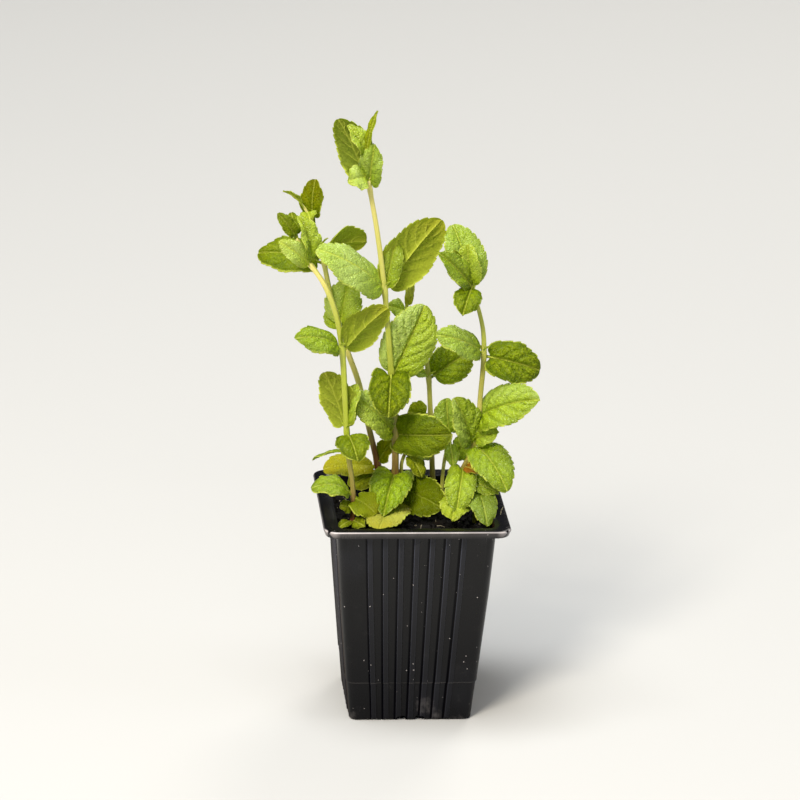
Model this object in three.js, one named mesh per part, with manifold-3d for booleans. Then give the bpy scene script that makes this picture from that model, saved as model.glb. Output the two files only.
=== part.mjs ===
// A young mint plant in a square nursery pot, in millimetres, with +Z up.
// The origin is the middle of the pot's underside, on the surface that the pot stands on.
// The pot's front face looks towards -Y.
// The pot, the compost in it and each leafy stem are pieces of their own, and only rest in each other.
import * as THREE from "three";
import { mergeVertices } from "three/addons/utils/BufferGeometryUtils.js";
import Module from "manifold-3d";

const wasm = await Module();
wasm.setup();

// Driving dimensions of the pot
const potHeight = 103;
const rimHalf = 45;
const flangeWidth = 5.4;
const lipDepth = 3.6;
const lipThickness = 1;
const wall = 1;
const floorThickness = 1.6;
const topHalf = 38.6;
const bendHalf = 36.1;
const bendHeight = 68;
const stepHeight = 20;
const stepSize = 0.35;
const stepHalf = 31.8;
const bottomHalf = 29.6;
const bottomCorner = 4;
const topCorner = 5.5;
const rimCorner = 7;
const arcSteps = 4;

// The upright ribs on each of the four walls
const ribCount = 7;
const ribPitch = 7.6;
const ribWidth = 2.8;
const ribProud = 0.45;
const ribSunk = 0.4;
const ribLow = 1.5;

// Drain notches along the bottom edges and drain holes in the floor
const notchWidth = 4.4;
const notchHeight = 2.3;
const notchOffset = 4.6;
const drainRadius = 2.4;
const drainOffset = 15;

// The compost, and the gap that keeps it and each stem clear of what holds it
const gap = 0.3;
const compostTop = 94;
const compostRings = 8;
const rootDepth = 14;

// The plant was turned a little against the pot when it was potted
const plantTurn = THREE.MathUtils.degToRad(-5.3);

// Leaf blades
const bladeThickness = 0.7;
const petioleLength = 3;
const petioleHalf = 0.75;
const petioleThickness = 1.5;
const toothDepth = 0.07;

// Each leafy stem, measured to the right, towards the viewer and up from the pot's origin.
// route: right, near, up and half the stem's width, from the foot to the tip.
// leaves: the height of the node a leaf grows from, its tip, its width, where its upper side looks,
// how far it arches as a share of its length, and how steeply its halves fold up, in degrees.
const stems = [
  {
    name: "stem_front_left",
    colour: 0xb5c24a,
    route: [
      [-28, 15, 94, 1.3],
      [-28, 15, 112, 1.3],
      [-31, 14, 133, 1.25],
      [-33, 12, 158, 1.25],
      [-35, 10, 182, 1.3],
      [-38, 9, 198, 1.3],
      [-44, 7, 213, 1.3],
      [-54, 6, 227, 1.1],
      [-58, 6, 236, 0.8],
    ],
    leaves: [
      { up: 235, tip: [-67, 10, 249], width: 9, faces: [0.2, 1, 0.6], arch: 0.1, fold: 20 },
      { up: 235, tip: [-61, 1, 247], width: 7, faces: [0, 1, 1], arch: 0.1, fold: 20 },
      { up: 227, tip: [-57, 4, 246], width: 10, faces: [1, 1, 0], arch: 0.1, fold: 35 },
      { up: 225, tip: [-65, 13, 237], width: 13, faces: [-0.5, 1, 1], arch: 0.1, fold: 10 },
      { up: 182, tip: [-57, 22, 191], width: 16, faces: [0, 0.6, 1], arch: 0.15, fold: -5 },
      { up: 181, tip: [-14, 4, 202], width: 19, faces: [-0.6, -1, 0.3], arch: 0.06, fold: 8 },
      { up: 142, tip: [-43, 8, 170], width: 19, faces: [0.4, -1, 0.1], arch: 0.05, fold: 12 },
      { up: 142, tip: [-27, 4, 163], width: 13, faces: [-1, 0.8, 0.2], arch: 0.05, fold: 15 },
      { up: 140, tip: [-26, 32, 133], width: 15, faces: [0, 1, 2], arch: 0.12, fold: 10 },
      { up: 133, tip: [-48, 4, 124], width: 12, faces: [-0.4, -0.34, 1], arch: 0.05, fold: 5 },
      { up: 110, tip: [-48, 20, 115], width: 14, faces: [0, 0.4, 1], arch: 0.2, fold: 5 },
      { up: 109, tip: [-15, 9, 105], width: 16, faces: [0.1, 0.35, 1], arch: 0.04, fold: 4 },
      { up: 103, tip: [-34, 19, 106], width: 7, faces: [0, 1, 1], arch: 0.1, fold: 5 },
      { up: 98, tip: [-34, 26, 99], width: 5, faces: [0, 1, 2], arch: 0.08, fold: 5 },
      { up: 98, tip: [-21, 27, 102], width: 7, faces: [-0.5, 1, 1], arch: 0.08, fold: 5 },
    ],
  },
  {
    name: "stem_tall",
    colour: 0xb9b950,
    route: [
      [-8, -8, 94, 1.6],
      [-8, -8, 116, 1.6],
      [-9, -7, 142, 1.5],
      [-11, -6, 163, 1.5],
      [-14, -4, 194, 1.5],
      [-16, -3, 212, 1.5],
      [-19, -1, 239, 1.4],
      [-24, 2, 261, 1.3],
      [-26, 3, 277, 0.9],
    ],
    leaves: [
      { up: 276, tip: [-21, 4, 299], width: 6, faces: [-1, 0.8, 0], arch: 0.05, fold: 25 },
      { up: 275, tip: [-35, 2, 291], width: 10, faces: [1, 1, 1], arch: 0.1, fold: 25 },
      { up: 262, tip: [-38, -2, 294], width: 17, faces: [0.3, -1, 0.3], arch: 0.05, fold: 15 },
      { up: 266, tip: [-33, 14, 266], width: 11, faces: [-0.2, 1, 0.4], arch: 0.12, fold: 8 },
      { up: 262, tip: [-22, 4, 283], width: 11, faces: [-0.6, 1, 0.3], arch: 0.05, fold: 20 },
      { up: 208, tip: [-48, 15, 233.5], width: 22, faces: [0, 0.8, 1], arch: 0.1, fold: -14 },
      { up: 208, tip: [11, -10, 242.5], width: 22, faces: [-0.3, -1, 0.2], arch: 0.05, fold: 8 },
      { up: 163, tip: [4, -14, 198], width: 26, faces: [0.3, 1, 0.6], arch: 0.06, fold: 15 },
      { up: 166, tip: [-12, 14, 150], width: 20, faces: [0, 1, 1.6], arch: 0.1, fold: 12 },
      { up: 133, tip: [-30, -3, 157], width: 18, faces: [0.3, 1, 0.3], arch: 0.06, fold: 15 },
      { up: 133, tip: [17, 8, 138], width: 20, faces: [0.3, 1, 0], arch: 0.06, fold: 6 },
      { up: 117, tip: [-13, 22, 103], width: 21, faces: [0, 1, 1.4], arch: 0.14, fold: 15 },
      { up: 107, tip: [13, 9, 101], width: 21, faces: [-0.1, 1, 0.9], arch: 0.06, fold: 4 },
      { up: 100, tip: [-14, 31, 98.5], width: 20, faces: [0, 0.7, 3], arch: 0.03, fold: 4 },
    ],
  },
  {
    name: "stem_back_left",
    colour: 0xa3a848,
    route: [
      [-14, -18, 94, 1.4],
      [-16, -18, 111, 1.4],
      [-21, -17, 132, 1.3],
      [-27, -16, 157, 1.3],
      [-33, -14, 174, 1.3],
      [-37, -13, 186, 1.2],
      [-42, -11, 205, 1.1],
      [-47, -9, 228, 1],
      [-51, -8, 240, 0.9],
      [-56, -7, 249, 0.7],
    ],
    leaves: [
      { up: 239, tip: [-50, -12, 260], width: 11, faces: [-0.6, 1, 0.3], arch: 0.08, fold: 15 },
      { up: 247, tip: [-65, -4, 256], width: 7, faces: [0, -0.3, 1], arch: 0.1, fold: 15 },
      { up: 245, tip: [-52, -1, 243], width: 8, faces: [0, 1, 1], arch: 0.1, fold: 15 },
      { up: 219, tip: [-77, -18, 220.5], width: 20, faces: [0, 0.8, 1], arch: 0.1, fold: 2 },
      { up: 226, tip: [-25, -24, 226.5], width: 19, faces: [-0.3, -1, 0.7], arch: 0.1, fold: 8 },
      { up: 182, tip: [-40, -24, 193], width: 13, faces: [0, 1, 1], arch: 0.08, fold: 8 },
      { up: 185, tip: [-33, -19, 209], width: 18, faces: [-0.2, 1, 0.2], arch: 0.05, fold: 20 },
      { up: 115, tip: [-10, -15, 127], width: 8, faces: [-1, 1, 1], arch: 0.05, fold: 10 },
      { up: 113, tip: [-43, -10, 114], width: 15, faces: [0, 0.6, 1], arch: 0.1, fold: 8 },
      { up: 109, tip: [-30, -4, 108], width: 13, faces: [0, 1, 1], arch: 0.1, fold: 8 },
    ],
  },
  {
    name: "stem_back_right",
    colour: 0xa8a545,
    route: [
      [11, -22, 94, 1.2],
      [10, -22, 112, 1.2],
      [8, -21, 145, 1.1],
      [6, -21, 165, 1.1],
      [2, -21, 179, 1],
      [-4, -20, 191, 0.8],
      [-5, -20, 197, 0.7],
    ],
    leaves: [
      { up: 193, tip: [-3, -19, 210], width: 5, faces: [1, 0.6, 0], arch: 0.05, fold: 20 },
      { up: 192, tip: [-13, -17, 196], width: 7, faces: [0, 1, 1], arch: 0.1, fold: 15 },
      { up: 158, tip: [27, -32, 169.5], width: 18, faces: [-0.4, 1, 0.2], arch: 0.08, fold: 8 },
      { up: 159, tip: [-2, -12, 164], width: 8, faces: [0, 0.6, 1], arch: 0.1, fold: 10 },
      { up: 130, tip: [-8, -14, 136], width: 14, faces: [0.1, 1, 0.3], arch: 0.06, fold: 8 },
      { up: 139, tip: [-3, -27, 139], width: 12, faces: [0.2, 1, 0.6], arch: 0.08, fold: 8 },
      { up: 138, tip: [19, -31, 137], width: 10, faces: [-0.2, 1, 0.6], arch: 0.08, fold: 8 },
    ],
  },
  {
    name: "stem_right",
    colour: 0xb0a94a,
    route: [
      [23, -2, 94, 1.1],
      [23, -2, 108, 1.1],
      [24, -2, 117, 1.1],
      [28, -3, 126, 1.1],
      [31, -3, 138, 1.1],
      [32, -4, 156, 1.1],
      [33, -5, 176, 1.1],
      [32, -6, 190, 1],
      [27, -7, 208, 0.9],
      [25, -7, 215, 0.7],
    ],
    leaves: [
      { up: 213, tip: [19, -4, 230], width: 6, faces: [0, 1, 0.3], arch: 0.05, fold: 30 },
      { up: 208, tip: [16, -13, 239], width: 20, faces: [0.2, 1, 0.6], arch: 0.1, fold: 15 },
      { up: 208, tip: [10, 2, 229], width: 13, faces: [0.6, 1, 0.6], arch: 0.08, fold: 20 },
      { up: 209, tip: [22, 10, 201], width: 13, faces: [0, 1, 1], arch: 0.1, fold: 15 },
      { up: 177, tip: [10, 8, 190], width: 17, faces: [0, 0.8, 1], arch: 0.1, fold: -6 },
      { up: 176, tip: [60.5, -9, 168], width: 19, faces: [0, 1, 0.7], arch: 0.08, fold: 8 },
      { up: 145, tip: [60, 14, 161], width: 19, faces: [-0.2, 0.8, 0.9], arch: 0.1, fold: 8 },
      { up: 134, tip: [20, 2, 157], width: 16, faces: [0.8, 1, 0.4], arch: 0.06, fold: 22 },
      { up: 133, tip: [41, 8, 142], width: 11, faces: [-0.3, 1, 0.8], arch: 0.1, fold: 10 },
      { up: 131, tip: [46, 22, 117], width: 19, faces: [0.2, 1, 1], arch: 0.16, fold: 8 },
      { up: 135, tip: [21, -14, 122], width: 12, faces: [-0.4, 1, 0.6], arch: 0.08, fold: 8 },
      { up: 119, tip: [32, 8, 120], width: 5, faces: [0, 1, 1], arch: 0.1, fold: 10 },
      { up: 113, tip: [42, 12, 112], width: 11, faces: [0, 0.7, 1], arch: 0.1, fold: 8 },
      { up: 120, tip: [22, 20, 104], width: 17, faces: [0, 1, 1], arch: 0.14, fold: 15 },
      { up: 105, tip: [20, 26, 103], width: 15, faces: [0, 0.6, 1], arch: 0.08, fold: 5 },
    ],
  },
  {
    name: "shoot_middle",
    colour: 0xb4bf5a,
    route: [
      [-4, -12, 94, 0.9],
      [-5, -12, 112, 0.8],
      [-5, -11, 118, 0.8],
      [-3, -10, 125, 0.6],
    ],
    leaves: [
      { up: 124, tip: [5, -2, 114], width: 9, faces: [0.6, 1, 1], arch: 0.12, fold: 10 },
      { up: 123, tip: [10, -12, 123], width: 10, faces: [0, 0.7, 1], arch: 0.1, fold: 5 },
    ],
  },
  {
    name: "shoot_back",
    colour: 0xb4bf5a,
    route: [
      [15, -11, 94, 0.9],
      [15, -11, 110, 0.8],
      [16, -11, 122, 0.8],
      [18, -10, 131, 0.7],
      [19, -10, 134, 0.6],
    ],
    leaves: [
      { up: 132, tip: [16, -11, 152], width: 14, faces: [-0.4, 1, 0.2], arch: 0.05, fold: 25 },
      { up: 131, tip: [20, 0, 121], width: 7, faces: [0, 1, 1], arch: 0.1, fold: 10 },
    ],
  },
  {
    name: "shoot_right",
    colour: 0xb4bf5a,
    route: [
      [31, 5, 94, 0.9],
      [31, 5, 104, 0.8],
      [31, 5, 110, 0.6],
    ],
    leaves: [{ up: 109, tip: [36.5, 24, 99.5], width: 14, faces: [0.2, 0.8, 1], arch: 0.12, fold: 8 }],
  },
];

// A closed solid from rings of the same number of points, each ring counter-clockwise seen from above
// its first one, with a flat cap on each end.
function loftRings(rings) {
  const count = rings[0].length;
  const positions = rings.flat(2);
  const index = [];
  for (let r = 0; r + 1 < rings.length; r += 1) {
    for (let i = 0; i < count; i += 1) {
      const next = (i + 1) % count;
      const a = r * count + i;
      const b = r * count + next;
      const c = (r + 1) * count + next;
      const d = (r + 1) * count + i;
      index.push(a, b, c, a, c, d);
    }
  }
  const last = (rings.length - 1) * count;
  for (let i = 1; i + 1 < count; i += 1) {
    index.push(0, i + 1, i);
    index.push(last, last + i, last + i + 1);
  }
  const geometry = new THREE.BufferGeometry();
  geometry.setAttribute("position", new THREE.Float32BufferAttribute(positions, 3));
  geometry.setIndex(index);
  return geometry;
}

function toSolid(geometry) {
  const bare = geometry.clone();
  bare.deleteAttribute("normal");
  bare.deleteAttribute("uv");
  const merged = mergeVertices(bare, 1e-4);
  const vertProperties = new Float32Array(merged.attributes.position.array);
  const triVerts = new Uint32Array(merged.index.array);
  return new wasm.Manifold(new wasm.Mesh({ numProp: 3, vertProperties, triVerts }));
}

function toGeometry(solid) {
  const mesh = solid.getMesh();
  const geometry = new THREE.BufferGeometry();
  geometry.setAttribute("position", new THREE.Float32BufferAttribute(mesh.vertProperties, 3));
  geometry.setIndex(Array.from(mesh.triVerts));
  geometry.computeVertexNormals();
  return geometry;
}

function joined(geometries) {
  return geometries.map(toSolid).reduce((whole, piece) => whole.add(piece));
}

// A ring of points round a square with rounded corners, at one height.
function squareRing(half, corner, z) {
  const ring = [];
  for (let side = 0; side < 4; side += 1) {
    const start = side * Math.PI / 2;
    const middle = start + Math.PI / 4;
    const centre = (half - corner) * Math.SQRT2;
    for (let i = 0; i <= arcSteps; i += 1) {
      const angle = start + (i / arcSteps) * Math.PI / 2;
      const x = centre * Math.cos(middle) + corner * Math.cos(angle);
      const y = centre * Math.sin(middle) + corner * Math.sin(angle);
      ring.push([x, y, z]);
    }
  }
  return ring;
}

// Half the width of the pot's outer wall at a height, and the radius of its corners there.
function wallHalf(z) {
  const lerp = THREE.MathUtils.mapLinear;
  if (z < stepHeight) return lerp(z, 0, stepHeight, bottomHalf, stepHalf - stepSize);
  if (z < bendHeight) return lerp(z, stepHeight, bendHeight, stepHalf, bendHalf);
  return lerp(z, bendHeight, potHeight, bendHalf, topHalf);
}

function wallCorner(z) {
  return THREE.MathUtils.lerp(bottomCorner, topCorner, z / potHeight);
}

function wallRing(z, inset) {
  return squareRing(wallHalf(z) - inset, wallCorner(z) - inset * 0.6, z);
}

function potShell() {
  const underFlange = potHeight - 1.2;
  const justUnderStep = stepHeight - 0.01;
  const justOverStep = stepHeight + stepSize;
  const lipInner = rimHalf - lipThickness;
  const flangeInner = rimHalf - flangeWidth;
  return loftRings([
    squareRing(bottomHalf - 0.7, bottomCorner - 0.4, 0),
    wallRing(0.8, 0),
    wallRing(justUnderStep, 0),
    wallRing(justOverStep, 0),
    wallRing(bendHeight, 0),
    wallRing(underFlange - 0.8, 0),
    squareRing(wallHalf(underFlange) + 0.6, topCorner, underFlange),
    squareRing(lipInner - 0.4, rimCorner - 1.4, underFlange),
    squareRing(lipInner - 1, rimCorner - 1.4, potHeight - lipDepth),
    squareRing(rimHalf - 1, rimCorner - 0.6, potHeight - lipDepth),
    squareRing(rimHalf, rimCorner, potHeight - 1),
    squareRing(rimHalf - 0.25, rimCorner, potHeight - 0.3),
    squareRing(rimHalf - 0.9, rimCorner - 0.5, potHeight),
    squareRing(flangeInner, topCorner - 0.5, potHeight),
    squareRing(wallHalf(potHeight) - wall + 0.3, topCorner - 0.6, potHeight - 0.7),
    wallRing(potHeight - 2.4, wall),
    wallRing(bendHeight, wall),
    wallRing(justOverStep, wall),
    wallRing(justUnderStep, wall),
    wallRing(floorThickness, wall),
  ]);
}

// One rib on the front wall, following the wall's taper from just above the bottom to the flange.
function rib(place) {
  const heights = [ribLow, stepHeight - 0.01, stepHeight + stepSize, bendHeight, potHeight - 1.6];
  const rings = heights.map((z) => {
    const middle = place * ribPitch * (wallHalf(z) / topHalf);
    const outer = -(wallHalf(z) + ribProud);
    const inner = -(wallHalf(z) - ribSunk);
    const top = ribWidth / 2 - 0.3;
    const foot = ribWidth / 2;
    return [
      [middle - foot, inner, z],
      [middle - top, outer, z],
      [middle + top, outer, z],
      [middle + foot, inner, z],
    ];
  });
  return loftRings(rings);
}

// An arched drain notch through the front wall, at the pot's bottom edge.
function notch(x) {
  const outline = new THREE.Shape();
  outline.moveTo(-notchWidth / 2, -1);
  outline.lineTo(notchWidth / 2, -1);
  outline.lineTo(notchWidth / 2, notchHeight * 0.55);
  outline.lineTo(notchWidth / 4, notchHeight);
  outline.lineTo(-notchWidth / 4, notchHeight);
  outline.lineTo(-notchWidth / 2, notchHeight * 0.55);
  const cutter = new THREE.ExtrudeGeometry(outline, { depth: 4, bevelEnabled: false });
  cutter.rotateX(Math.PI / 2);
  cutter.translate(x, -(bottomHalf - 3), 0);
  return cutter;
}

function drainHole(x, y) {
  const cutter = new THREE.CylinderGeometry(drainRadius, drainRadius, 6, 10);
  cutter.rotateX(Math.PI / 2);
  cutter.translate(x, y, 0);
  return cutter;
}

function makePot() {
  const added = [potShell()];
  const removed = [];
  const ribEnd = (ribCount - 1) / 2;
  for (let side = 0; side < 4; side += 1) {
    const turn = side * Math.PI / 2;
    for (let place = -ribEnd; place <= ribEnd; place += 1) added.push(rib(place).rotateZ(turn));
    for (const x of [-notchOffset, notchOffset]) removed.push(notch(x).rotateZ(turn));
    removed.push(drainHole(drainOffset, drainOffset).rotateZ(turn));
  }
  const body = joined(added);
  return removed.map(toSolid).reduce((whole, cutter) => whole.subtract(cutter), body);
}

// How far the compost's lumps stand above or below its level at a place.
function lump(x, y) {
  const broad = 0.8 * Math.sin(0.11 * x + 0.9) * Math.cos(0.13 * y - 0.5);
  const middle = 0.55 * Math.sin(0.37 * x - 0.22 * y + 1.7);
  const fine = 0.45 * Math.cos(0.61 * y + 0.28 * x);
  return broad + middle + fine;
}

// Where a stem's centre line is at a height, smoothly through its route.
function stemAt(route, up) {
  const last = route.length - 2;
  let low = 0;
  while (low < last && up > route[low + 1][2]) low += 1;
  const a = route[low];
  const b = route[low + 1];
  const before = route[Math.max(low - 1, 0)];
  const after = route[Math.min(low + 2, route.length - 1)];
  const span = b[2] - a[2];
  const t = (up - a[2]) / span;
  const value = (axis) => {
    const slopeA = low === 0 ? 0 : (b[axis] - before[axis]) / (b[2] - before[2]);
    const slopeB = (after[axis] - a[axis]) / (after[2] - a[2]);
    const h00 = 2 * t ** 3 - 3 * t ** 2 + 1;
    const h10 = t ** 3 - 2 * t ** 2 + t;
    const h01 = -2 * t ** 3 + 3 * t ** 2;
    const h11 = t ** 3 - t ** 2;
    return h00 * a[axis] + h10 * span * slopeA + h01 * b[axis] + h11 * span * slopeB;
  };
  if (t <= 0) return { right: a[0], near: a[1], up, half: a[3] };
  return { right: value(0), near: value(1), up, half: value(3) };
}

// A ring round a stem, which is square as every mint's is.
function stemRing(route, up, spread) {
  const { right, near, half } = stemAt(route, up);
  const reach = half + spread;
  const corners = [
    [reach, -reach],
    [reach, reach],
    [-reach, reach],
    [-reach, -reach],
  ];
  return corners.map(([x, y]) => [right + x, -near + y, up]);
}

function stemBody(route) {
  const foot = compostTop - rootDepth;
  const tip = route[route.length - 1][2];
  const heights = [foot];
  for (let i = 0; i + 1 < route.length; i += 1) {
    const a = route[i][2];
    const b = route[i + 1][2];
    const pieces = i === 0 ? 1 : 2;
    for (let k = 0; k < pieces; k += 1) heights.push(a + (b - a) * (k / pieces));
  }
  heights.push(tip);
  return loftRings(heights.map((up) => stemRing(route, up, 0)));
}

function stemHole(route) {
  const foot = compostTop - rootDepth - gap;
  return loftRings([stemRing(route, foot, gap), stemRing(route, compostTop + 4, gap)]);
}

function makeCompost() {
  const sides = [floorThickness + gap, stepHeight - 0.01, stepHeight + stepSize, bendHeight];
  const rings = sides.map((z) => wallRing(z, wall + gap));
  for (let i = 0; i < compostRings; i += 1) {
    const scale = 1 - i / compostRings;
    const half = (wallHalf(compostTop) - wall - gap) * scale;
    const corner = wallCorner(compostTop) * scale + half * 0.25 * (1 - scale);
    const flat = squareRing(half, Math.min(corner, half), 0);
    rings.push(flat.map(([x, y]) => [x, y, compostTop + lump(x, y)]));
  }
  const cutters = stems.map((stem) => toSolid(stemHole(stem.route).rotateZ(plantTurn)));
  return cutters.reduce((whole, cutter) => whole.subtract(cutter), toSolid(loftRings(rings)));
}

// How wide a mint leaf is along its blade, as a share of its full width.
function bladeShare(t) {
  return Math.sin(Math.PI * t ** 0.88) ** 0.58;
}

// One leaf: a short stalk that starts in the stem's core, and a thin blade with forward-pointing teeth
// whose two halves fold up along the midrib. Both faces are split into triangles alike.
function leafBody(route, leaf) {
  const foot = stemAt(route, leaf.up);
  const base = new THREE.Vector3(foot.right, -foot.near, foot.up);
  const tip = new THREE.Vector3(leaf.tip[0], -leaf.tip[1], leaf.tip[2]);
  const along = tip.clone().sub(base);
  const length = along.length();
  along.normalize();
  const looks = new THREE.Vector3(leaf.faces[0], -leaf.faces[1], leaf.faces[2]);
  const across = along.clone().cross(looks).normalize();
  const upper = across.clone().cross(along);
  const fold = THREE.MathUtils.degToRad(leaf.fold);
  const teeth = THREE.MathUtils.clamp(Math.round(length / 5), 3, 6);
  const stalk = Math.min(petioleLength, length * 0.2) / length;

  const ring = (t, half, thickness, bend) => {
    const rise = leaf.arch * length * 4 * t * (1 - t);
    const middle = base.clone().addScaledVector(along, t * length).addScaledVector(upper, rise);
    const drop = upper.clone().multiplyScalar(-thickness / Math.cos(bend));
    const edge = (side) =>
      middle
        .clone()
        .addScaledVector(across, side * half * Math.cos(bend))
        .addScaledVector(upper, half * Math.sin(bend));
    const top = [edge(1), middle, edge(-1)];
    const under = top.map((point) => point.clone().add(drop)).reverse();
    return [...top, ...under].map((point) => point.toArray());
  };

  const rings = [ring(0, petioleHalf, petioleThickness, 0), ring(stalk, petioleHalf, petioleThickness, 0)];
  const blade = (share, grow) => {
    const t = stalk + (1 - stalk) * share;
    rings.push(ring(t, (leaf.width / 2) * bladeShare(share) * grow, bladeThickness, fold));
  };
  blade(0.05, 1);
  for (let tooth = 1; tooth < teeth; tooth += 1) {
    const start = tooth / teeth;
    blade(start, 1 - toothDepth);
    if (tooth < teeth - 1) blade(start + 0.6 / teeth, 1 + toothDepth * 0.4);
  }
  blade(0.93, 1);
  blade(0.995, 1);
  return loftRings(rings.map((points) => points.reverse()));
}

function makeStem(stem) {
  return joined([stemBody(stem.route), ...stem.leaves.map((leaf) => leafBody(stem.route, leaf))]);
}

function namedMesh(name, solid, colour, roughness) {
  const material = new THREE.MeshStandardMaterial({ color: colour, roughness, metalness: 0 });
  const mesh = new THREE.Mesh(toGeometry(solid), material);
  mesh.name = name;
  return mesh;
}

const group = new THREE.Group();
group.add(namedMesh("pot", makePot(), 0x17171a, 0.35));
group.add(namedMesh("compost", makeCompost(), 0x1b130e, 0.95));

const plant = new THREE.Group();
plant.rotation.z = plantTurn;
for (const stem of stems) plant.add(namedMesh(stem.name, makeStem(stem), stem.colour, 0.55));
group.add(plant);

export default group;
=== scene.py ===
"""A young mint plant in a square nursery pot, dressed over its fixed frame.

Lengths in the tables are millimetres in the plant's own frame: to the right, towards the viewer and up
from the middle of the pot's underside. Finished pieces are in metres in the frame of the model.
"""

import math
import random

import bpy
from bpy.props import FloatProperty, FloatVectorProperty, IntProperty, PointerProperty
from bpy.types import Operator, Panel, PropertyGroup
from mathutils import Euler, Matrix, Vector, noise


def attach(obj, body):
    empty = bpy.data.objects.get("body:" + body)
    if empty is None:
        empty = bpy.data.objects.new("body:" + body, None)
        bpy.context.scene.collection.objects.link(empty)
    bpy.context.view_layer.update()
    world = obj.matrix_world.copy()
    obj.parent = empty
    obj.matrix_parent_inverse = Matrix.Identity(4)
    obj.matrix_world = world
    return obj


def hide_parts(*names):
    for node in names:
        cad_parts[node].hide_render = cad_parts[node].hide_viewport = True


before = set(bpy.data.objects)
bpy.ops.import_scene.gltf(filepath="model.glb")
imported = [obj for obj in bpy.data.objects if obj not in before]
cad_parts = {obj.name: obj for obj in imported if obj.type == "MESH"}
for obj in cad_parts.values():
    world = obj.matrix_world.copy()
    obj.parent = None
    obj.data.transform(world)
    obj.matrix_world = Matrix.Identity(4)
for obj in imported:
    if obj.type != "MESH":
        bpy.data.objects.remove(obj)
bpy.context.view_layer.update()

bl_info = {
    "name": "Potted mint plant",
    "version": (1, 0, 0),
    "blender": (4, 5, 0),
    "location": "3D View > Sidebar > Mint",
    "description": "Builds a young mint plant, its compost and its square nursery pot",
    "category": "Add Mesh",
}

# One millimetre in metres
MM = 0.001

# How far the plant's own frame is turned from the model's, about the upright axis
PLANT_TURN = math.radians(-5.3)

# What a leaf looks like: how light its green is, how yellow it has turned, how pale it is, partly its own
# paleness and partly painted sheen, and how glossy it is. Past 1 the yellow turns to rust. The lightness
# also
# paints light and shade: sunlit is lighter for a leaf that others shade, shaded is darker for a leaf in
# shade, and glowing is painted light coming through a leaf.
LEAF_LOOKS = {
    "lime": (0.7, 0.15, 0.25, 0.9),
    "fresh": (0.65, 0.0, 0.05, 0.8),
    "bright": (0.9, 0.2, 0.4, 1.0),
    "green": (0.5, 0.1, 0.2, 0.8),
    "cool": (0.65, 0.05, 0.6, 1.0),
    "painted_shade": (0.3, 0.05, 0.4, 0.7),
    "pale": (1.1, 0.3, 1.2, 1.0),
    "sunlit": (1.3, 0.25, 0.6, 1.0),
    # Painted sheen: a very pale look for a leaf that light glances off.
    "bright_sheen": (1.3, 0.05, 1.5, 1.0),
    "dark": (0.18, 0.33, 0.05, 0.3),
    "deep": (0.08, 0.4, 0.0, 0.15),
    "shaded": (0.08, 0.75, 0.0, 0.1),
    "olive": (0.42, 0.5, 0.05, 0.2),
    "glowing": (0.6, 0.55, 0.05, 0.2),
    "young": (0.85, 0.35, 0.3, 0.6),
    "yellow": (0.95, 1.0, 0.1, 0.4),
    "cream": (1.0, 1.15, 0.7, 0.6),
    "rust": (0.3, 2.0, 0.0, 0.4),
}

# What a leaf has unless its own line says otherwise: how far its margins curl down and wave, how far the
# lobes at its foot reach back past the stalk, how far the blade hangs back behind the stalk's foot, how
# strongly it is quilted, how far its end narrows, and how much painted sheen one half has over the other,
# the left half for values below 0 and the right half for those above.
USUAL_LEAF = {"curl": 0.3, "wave": 0.8, "lobes": 0.08, "set_back": 0, "puff": 1, "point": 0, "glaze": 0}


def leaf(up, tip, width, faces, arch, fold, look, **unusual):
    """A leaf: the height it grows from, its tip, its width, where it faces, its arch, fold and look.

    The arch is a share of its length and the fold is in degrees.
    """
    own = {"up": up, "tip": tip, "width": width, "faces": faces, "arch": arch, "fold": fold}
    return {**USUAL_LEAF, **own, "look": LEAF_LOOKS[look], **unusual}


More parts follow.
